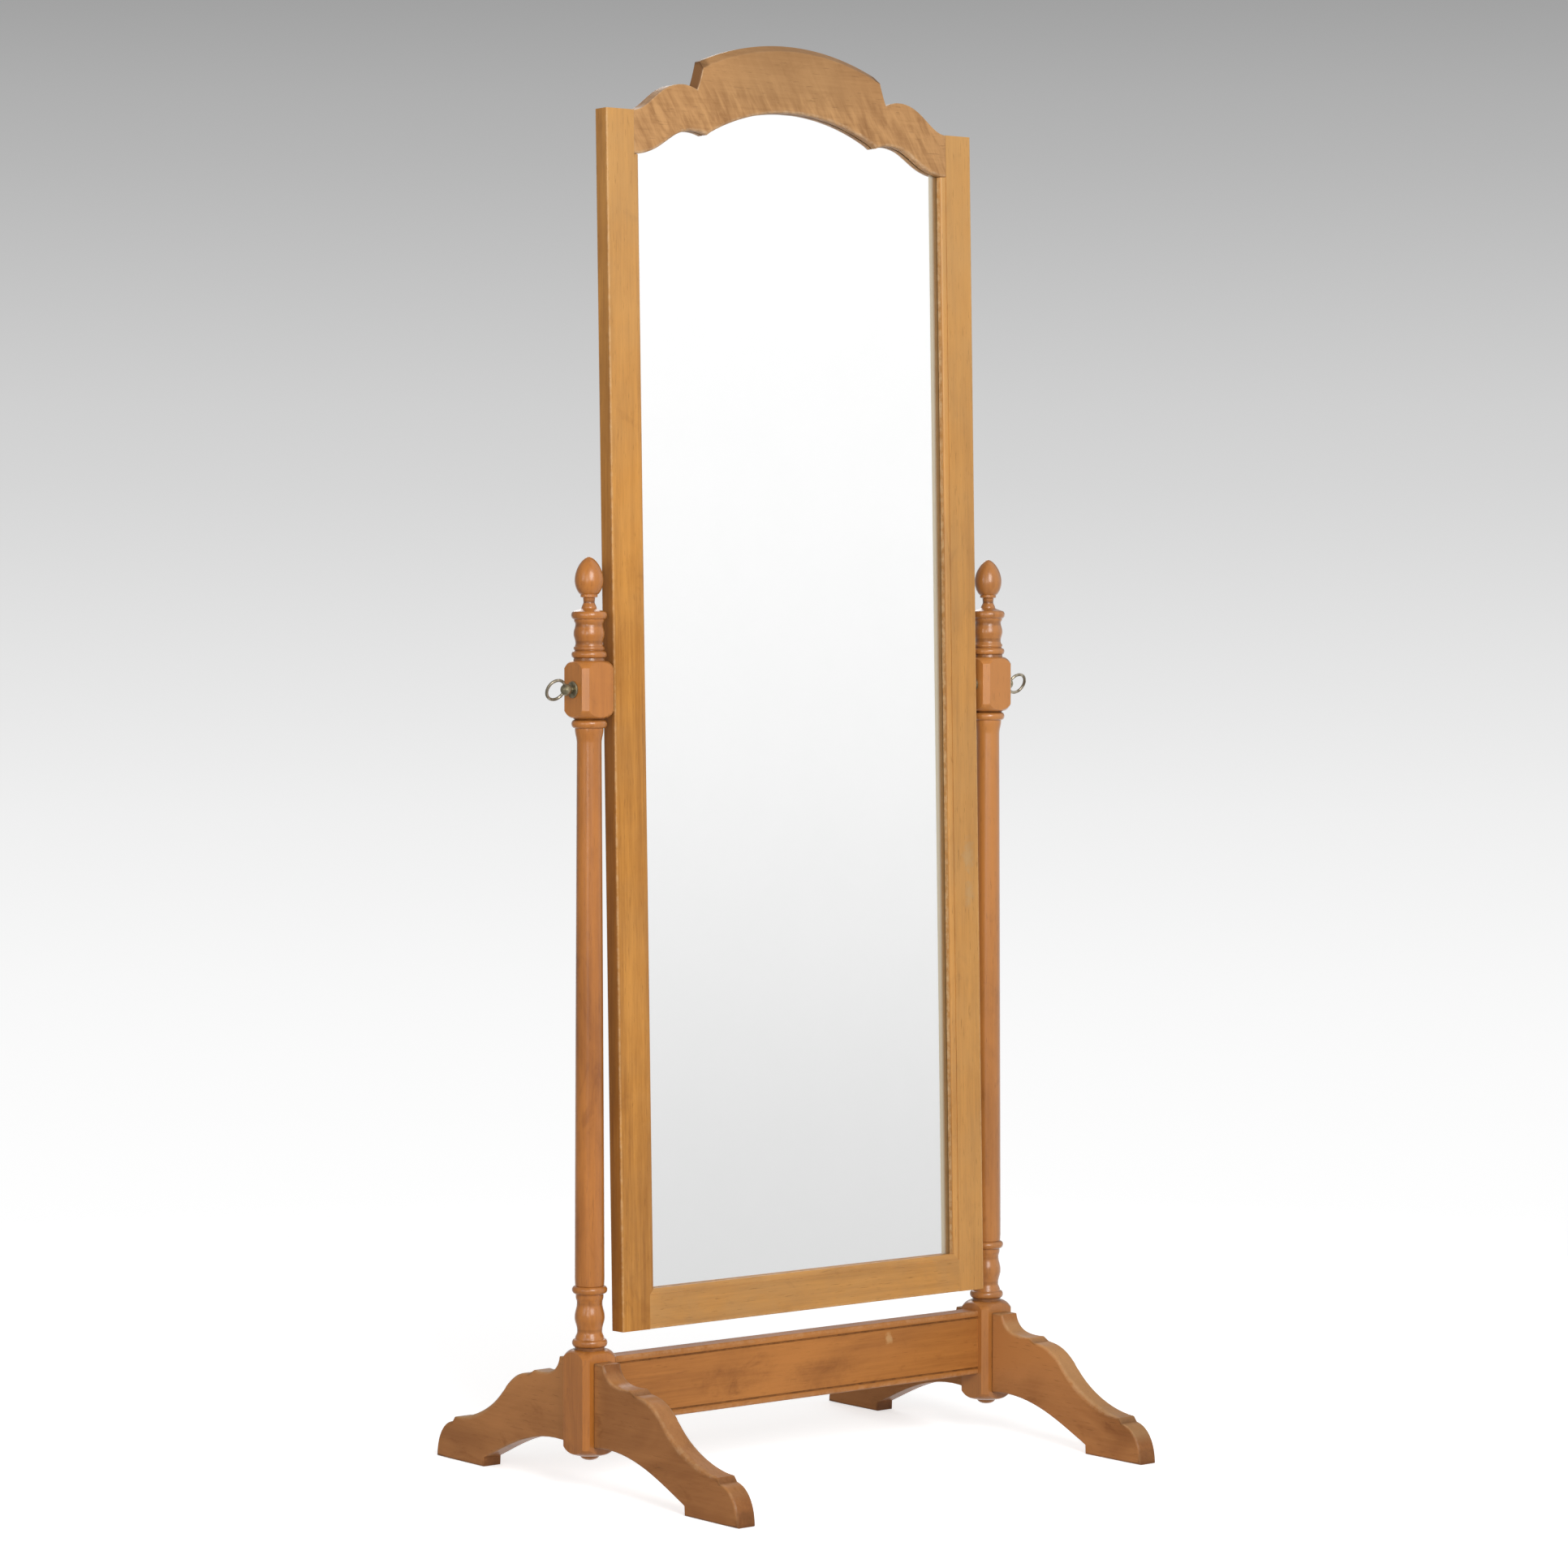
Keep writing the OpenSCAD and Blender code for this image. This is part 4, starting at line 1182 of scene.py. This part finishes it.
class CHEVAL_OT_hidden_joinery(Operator):
    """Dowels, backing sheet and the closed back"""

    bl_idname = "cheval.hidden_joinery"
    bl_label = "Joinery and back"

    def execute(self, context):
        dowel = wood("dowel_wood", (linear("D8B98A"), linear("B8935F")), "z", figure=0.3,
                     blotch=0.2, gloss=0.6, coat=0.0)
        finish_nodes(["leg_dowels", "stretcher_dowels", "frame_dowels"], dowel)
        finish_nodes(["backing_sheet"], board("backing_card", "9A8260", "75603F"))
        finish_nodes(["back_panel"], board("panel_board", "A5794C", "7F5630"))
        return {"FINISHED"}


class CHEVAL_OT_hardware(Operator):
    """Pivot screws with their rings, roses, spacers and inserts"""

    bl_idname = "cheval.hardware"
    bl_label = "Pivot hardware"

    def execute(self, context):
        names = [hand + kind for hand in ("left_", "right_")
                 for kind in ("insert", "spacer", "rose", "thumbscrew")]
        finish_nodes([*names, "panel_screws"], old_metal("old_brass", "B5AA8E", "736A52", 0.3))
        finish_nodes(["left_ring", "right_ring"],
                     old_metal("rubbed_brass", "BDB3A0", "756A57", 0.24))
        return {"FINISHED"}


# Studio


def floor_mesh(count=96):
    turns = np.linspace(0, 2 * pi, count, endpoint=False)
    verts = [(r * cos(a), r * sin(a), 0) for r in FLOOR_RINGS for a in turns]
    mesh = bpy.data.meshes.new("floor")
    mesh.from_pydata(verts, [], ring_faces(len(FLOOR_RINGS), count))
    return mesh


def lamp(name, place, aim, size, watts):
    """A rectangular soft light that faces a point."""
    data = bpy.data.lights.new(name, "AREA")
    data.shape = "RECTANGLE"
    data.size, data.size_y = size
    data.energy = watts
    made = put(name, data)
    made.location = place
    towards = Vector(aim) - Vector(place)
    made.rotation_euler = towards.to_track_quat("-Z", "Y").to_euler()


def grey_ramp(s, value, stops):
    """A grey that changes with the height of the direction."""
    low, high = stops[0][0], stops[-1][0]
    places = [((at - low) / (high - low), grey) for at, grey in stops]
    return s.node("ShaderNodeValToRGB", {"stops": places}, {0: (value - low) * (1 / (high - low))})


def backdrop(scene, level):
    """Even light all round, and the grey-to-white ground that the eye sees."""
    scene.world = bpy.data.worlds.new("studio")
    s = Shader(scene.world)
    across, front, up = s.parts(s.node("ShaderNodeTexCoord", output="Generated"))
    seen = grey_ramp(s, up, BACKDROP)
    beside = (across - 0.62).abs().above(0.3, 0.75)
    room = s.vector("MULTIPLY", (grey_ramp(s, up, ROOM), (ROOM_LEVEL,) * 3))
    mirrored = s.blend(beside, room, ROOM_SIDES)
    eye = s.ray("Camera")
    looking = eye.either(s.ray("Glossy").either(s.ray("Transmission")))
    dim = s.blend(beside, seen, ROOM_SIDES)
    behind = front.above(-0.05, 0.05)
    away = s.blend(eye, s.blend(behind, mirrored, dim), seen)
    colour = s.blend(looking, (level, level, level, 1.0), away)
    surface = s.node("ShaderNodeBackground", None, {"Color": colour, "Strength": 1.0})
    s.node("ShaderNodeOutputWorld", None, {"Surface": surface})


def floor():
    """A floor that takes the shadow and fades into the backdrop."""
    made = put("floor", floor_mesh())
    made.location = (0, 0, FLOOR_Z)
    s = Shader(bpy.data.materials.new("floor"))
    out = s.length(s.place()).above(*FLOOR_FADE).either(s.ray("Glossy"))
    pale = s.node("ShaderNodeBsdfDiffuse", None, {"Color": FLOOR_GREY})
    lift = s.node("ShaderNodeEmission", None,
                  {"Color": (1, 1, 1, 1), "Strength": s.ray("Camera") * FLOOR_LIFT})
    ground = s.node("ShaderNodeAddShader", None, {0: pale, 1: lift})
    clear = s.node("ShaderNodeBsdfTransparent")
    surface = s.node("ShaderNodeMixShader", None, {0: out, 1: ground, 2: clear})
    s.node("ShaderNodeOutputMaterial", None, {"Surface": surface})
    made.data.materials.append(s.owner)


def camera(scene):
    """The camera solved from the object's own straight edges."""
    data = bpy.data.cameras.new("camera")
    data.sensor_width, data.lens = SENSOR, LENS
    data.clip_start, data.clip_end = 0.1, 60.0
    eye = put("camera", data)
    turn = Euler((pi / 2 + CAMERA_PITCH, 0, -CAMERA_YAW)).to_matrix().to_4x4()
    roll = Matrix.Rotation(CAMERA_ROLL, 4, "Z")
    eye.matrix_world = Matrix.Translation(CAMERA_PLACE) @ turn @ roll
    scene.camera = eye


class CHEVAL_OT_studio(Operator):
    """Pale floor, backdrop, lights and camera"""

    bl_idname = "cheval.studio"
    bl_label = "Studio"

    def execute(self, context):
        scene = context.scene
        light = scene.cheval_light
        backdrop(scene, light.room)
        floor()
        for name, place, height, size in LAMPS:
            lamp(name + "_light", place, (0, 0, height), size, getattr(light, name))
        camera(scene)
        scene.view_settings.view_transform = "Standard"
        return {"FINISHED"}


# Panel and run

PIECES = (CHEVAL_OT_posts, CHEVAL_OT_legs, CHEVAL_OT_stretcher, CHEVAL_OT_stiles,
          CHEVAL_OT_bottom_rail, CHEVAL_OT_crest, CHEVAL_OT_mirror_plate,
          CHEVAL_OT_hidden_joinery, CHEVAL_OT_hardware, CHEVAL_OT_studio)
GROUPS = {"cheval_wood": WoodColours, "cheval_edges": EdgeSizes, "cheval_light": StudioLight}


class CHEVAL_PT_sidebar(Panel):
    """Lists the pieces with their sizes and colours"""

    bl_label = "Cheval mirror"
    bl_idname = "CHEVAL_PT_sidebar"
    bl_space_type = "VIEW_3D"
    bl_region_type = "UI"
    bl_category = "Cheval mirror"

    def draw(self, context):
        for group in GROUPS:
            column = self.layout.column(align=True)
            values = getattr(context.scene, group)
            for name in values.__annotations__:
                column.prop(values, name)
        column = self.layout.column(align=True)
        for piece in PIECES:
            column.operator(piece.bl_idname)


CLASSES = (*GROUPS.values(), *PIECES, CHEVAL_PT_sidebar)


def register():
    for cls in CLASSES:
        bpy.utils.register_class(cls)
    for name, group in GROUPS.items():
        setattr(bpy.types.Scene, name, PointerProperty(type=group))


def unregister():
    for name in GROUPS:
        delattr(bpy.types.Scene, name)
    for cls in reversed(CLASSES):
        bpy.utils.unregister_class(cls)


def main():
    register()
    for piece in PIECES:
        family, name = piece.bl_idname.split(".")
        getattr(getattr(bpy.ops, family), name)()


if __name__ == "__main__":
    main()
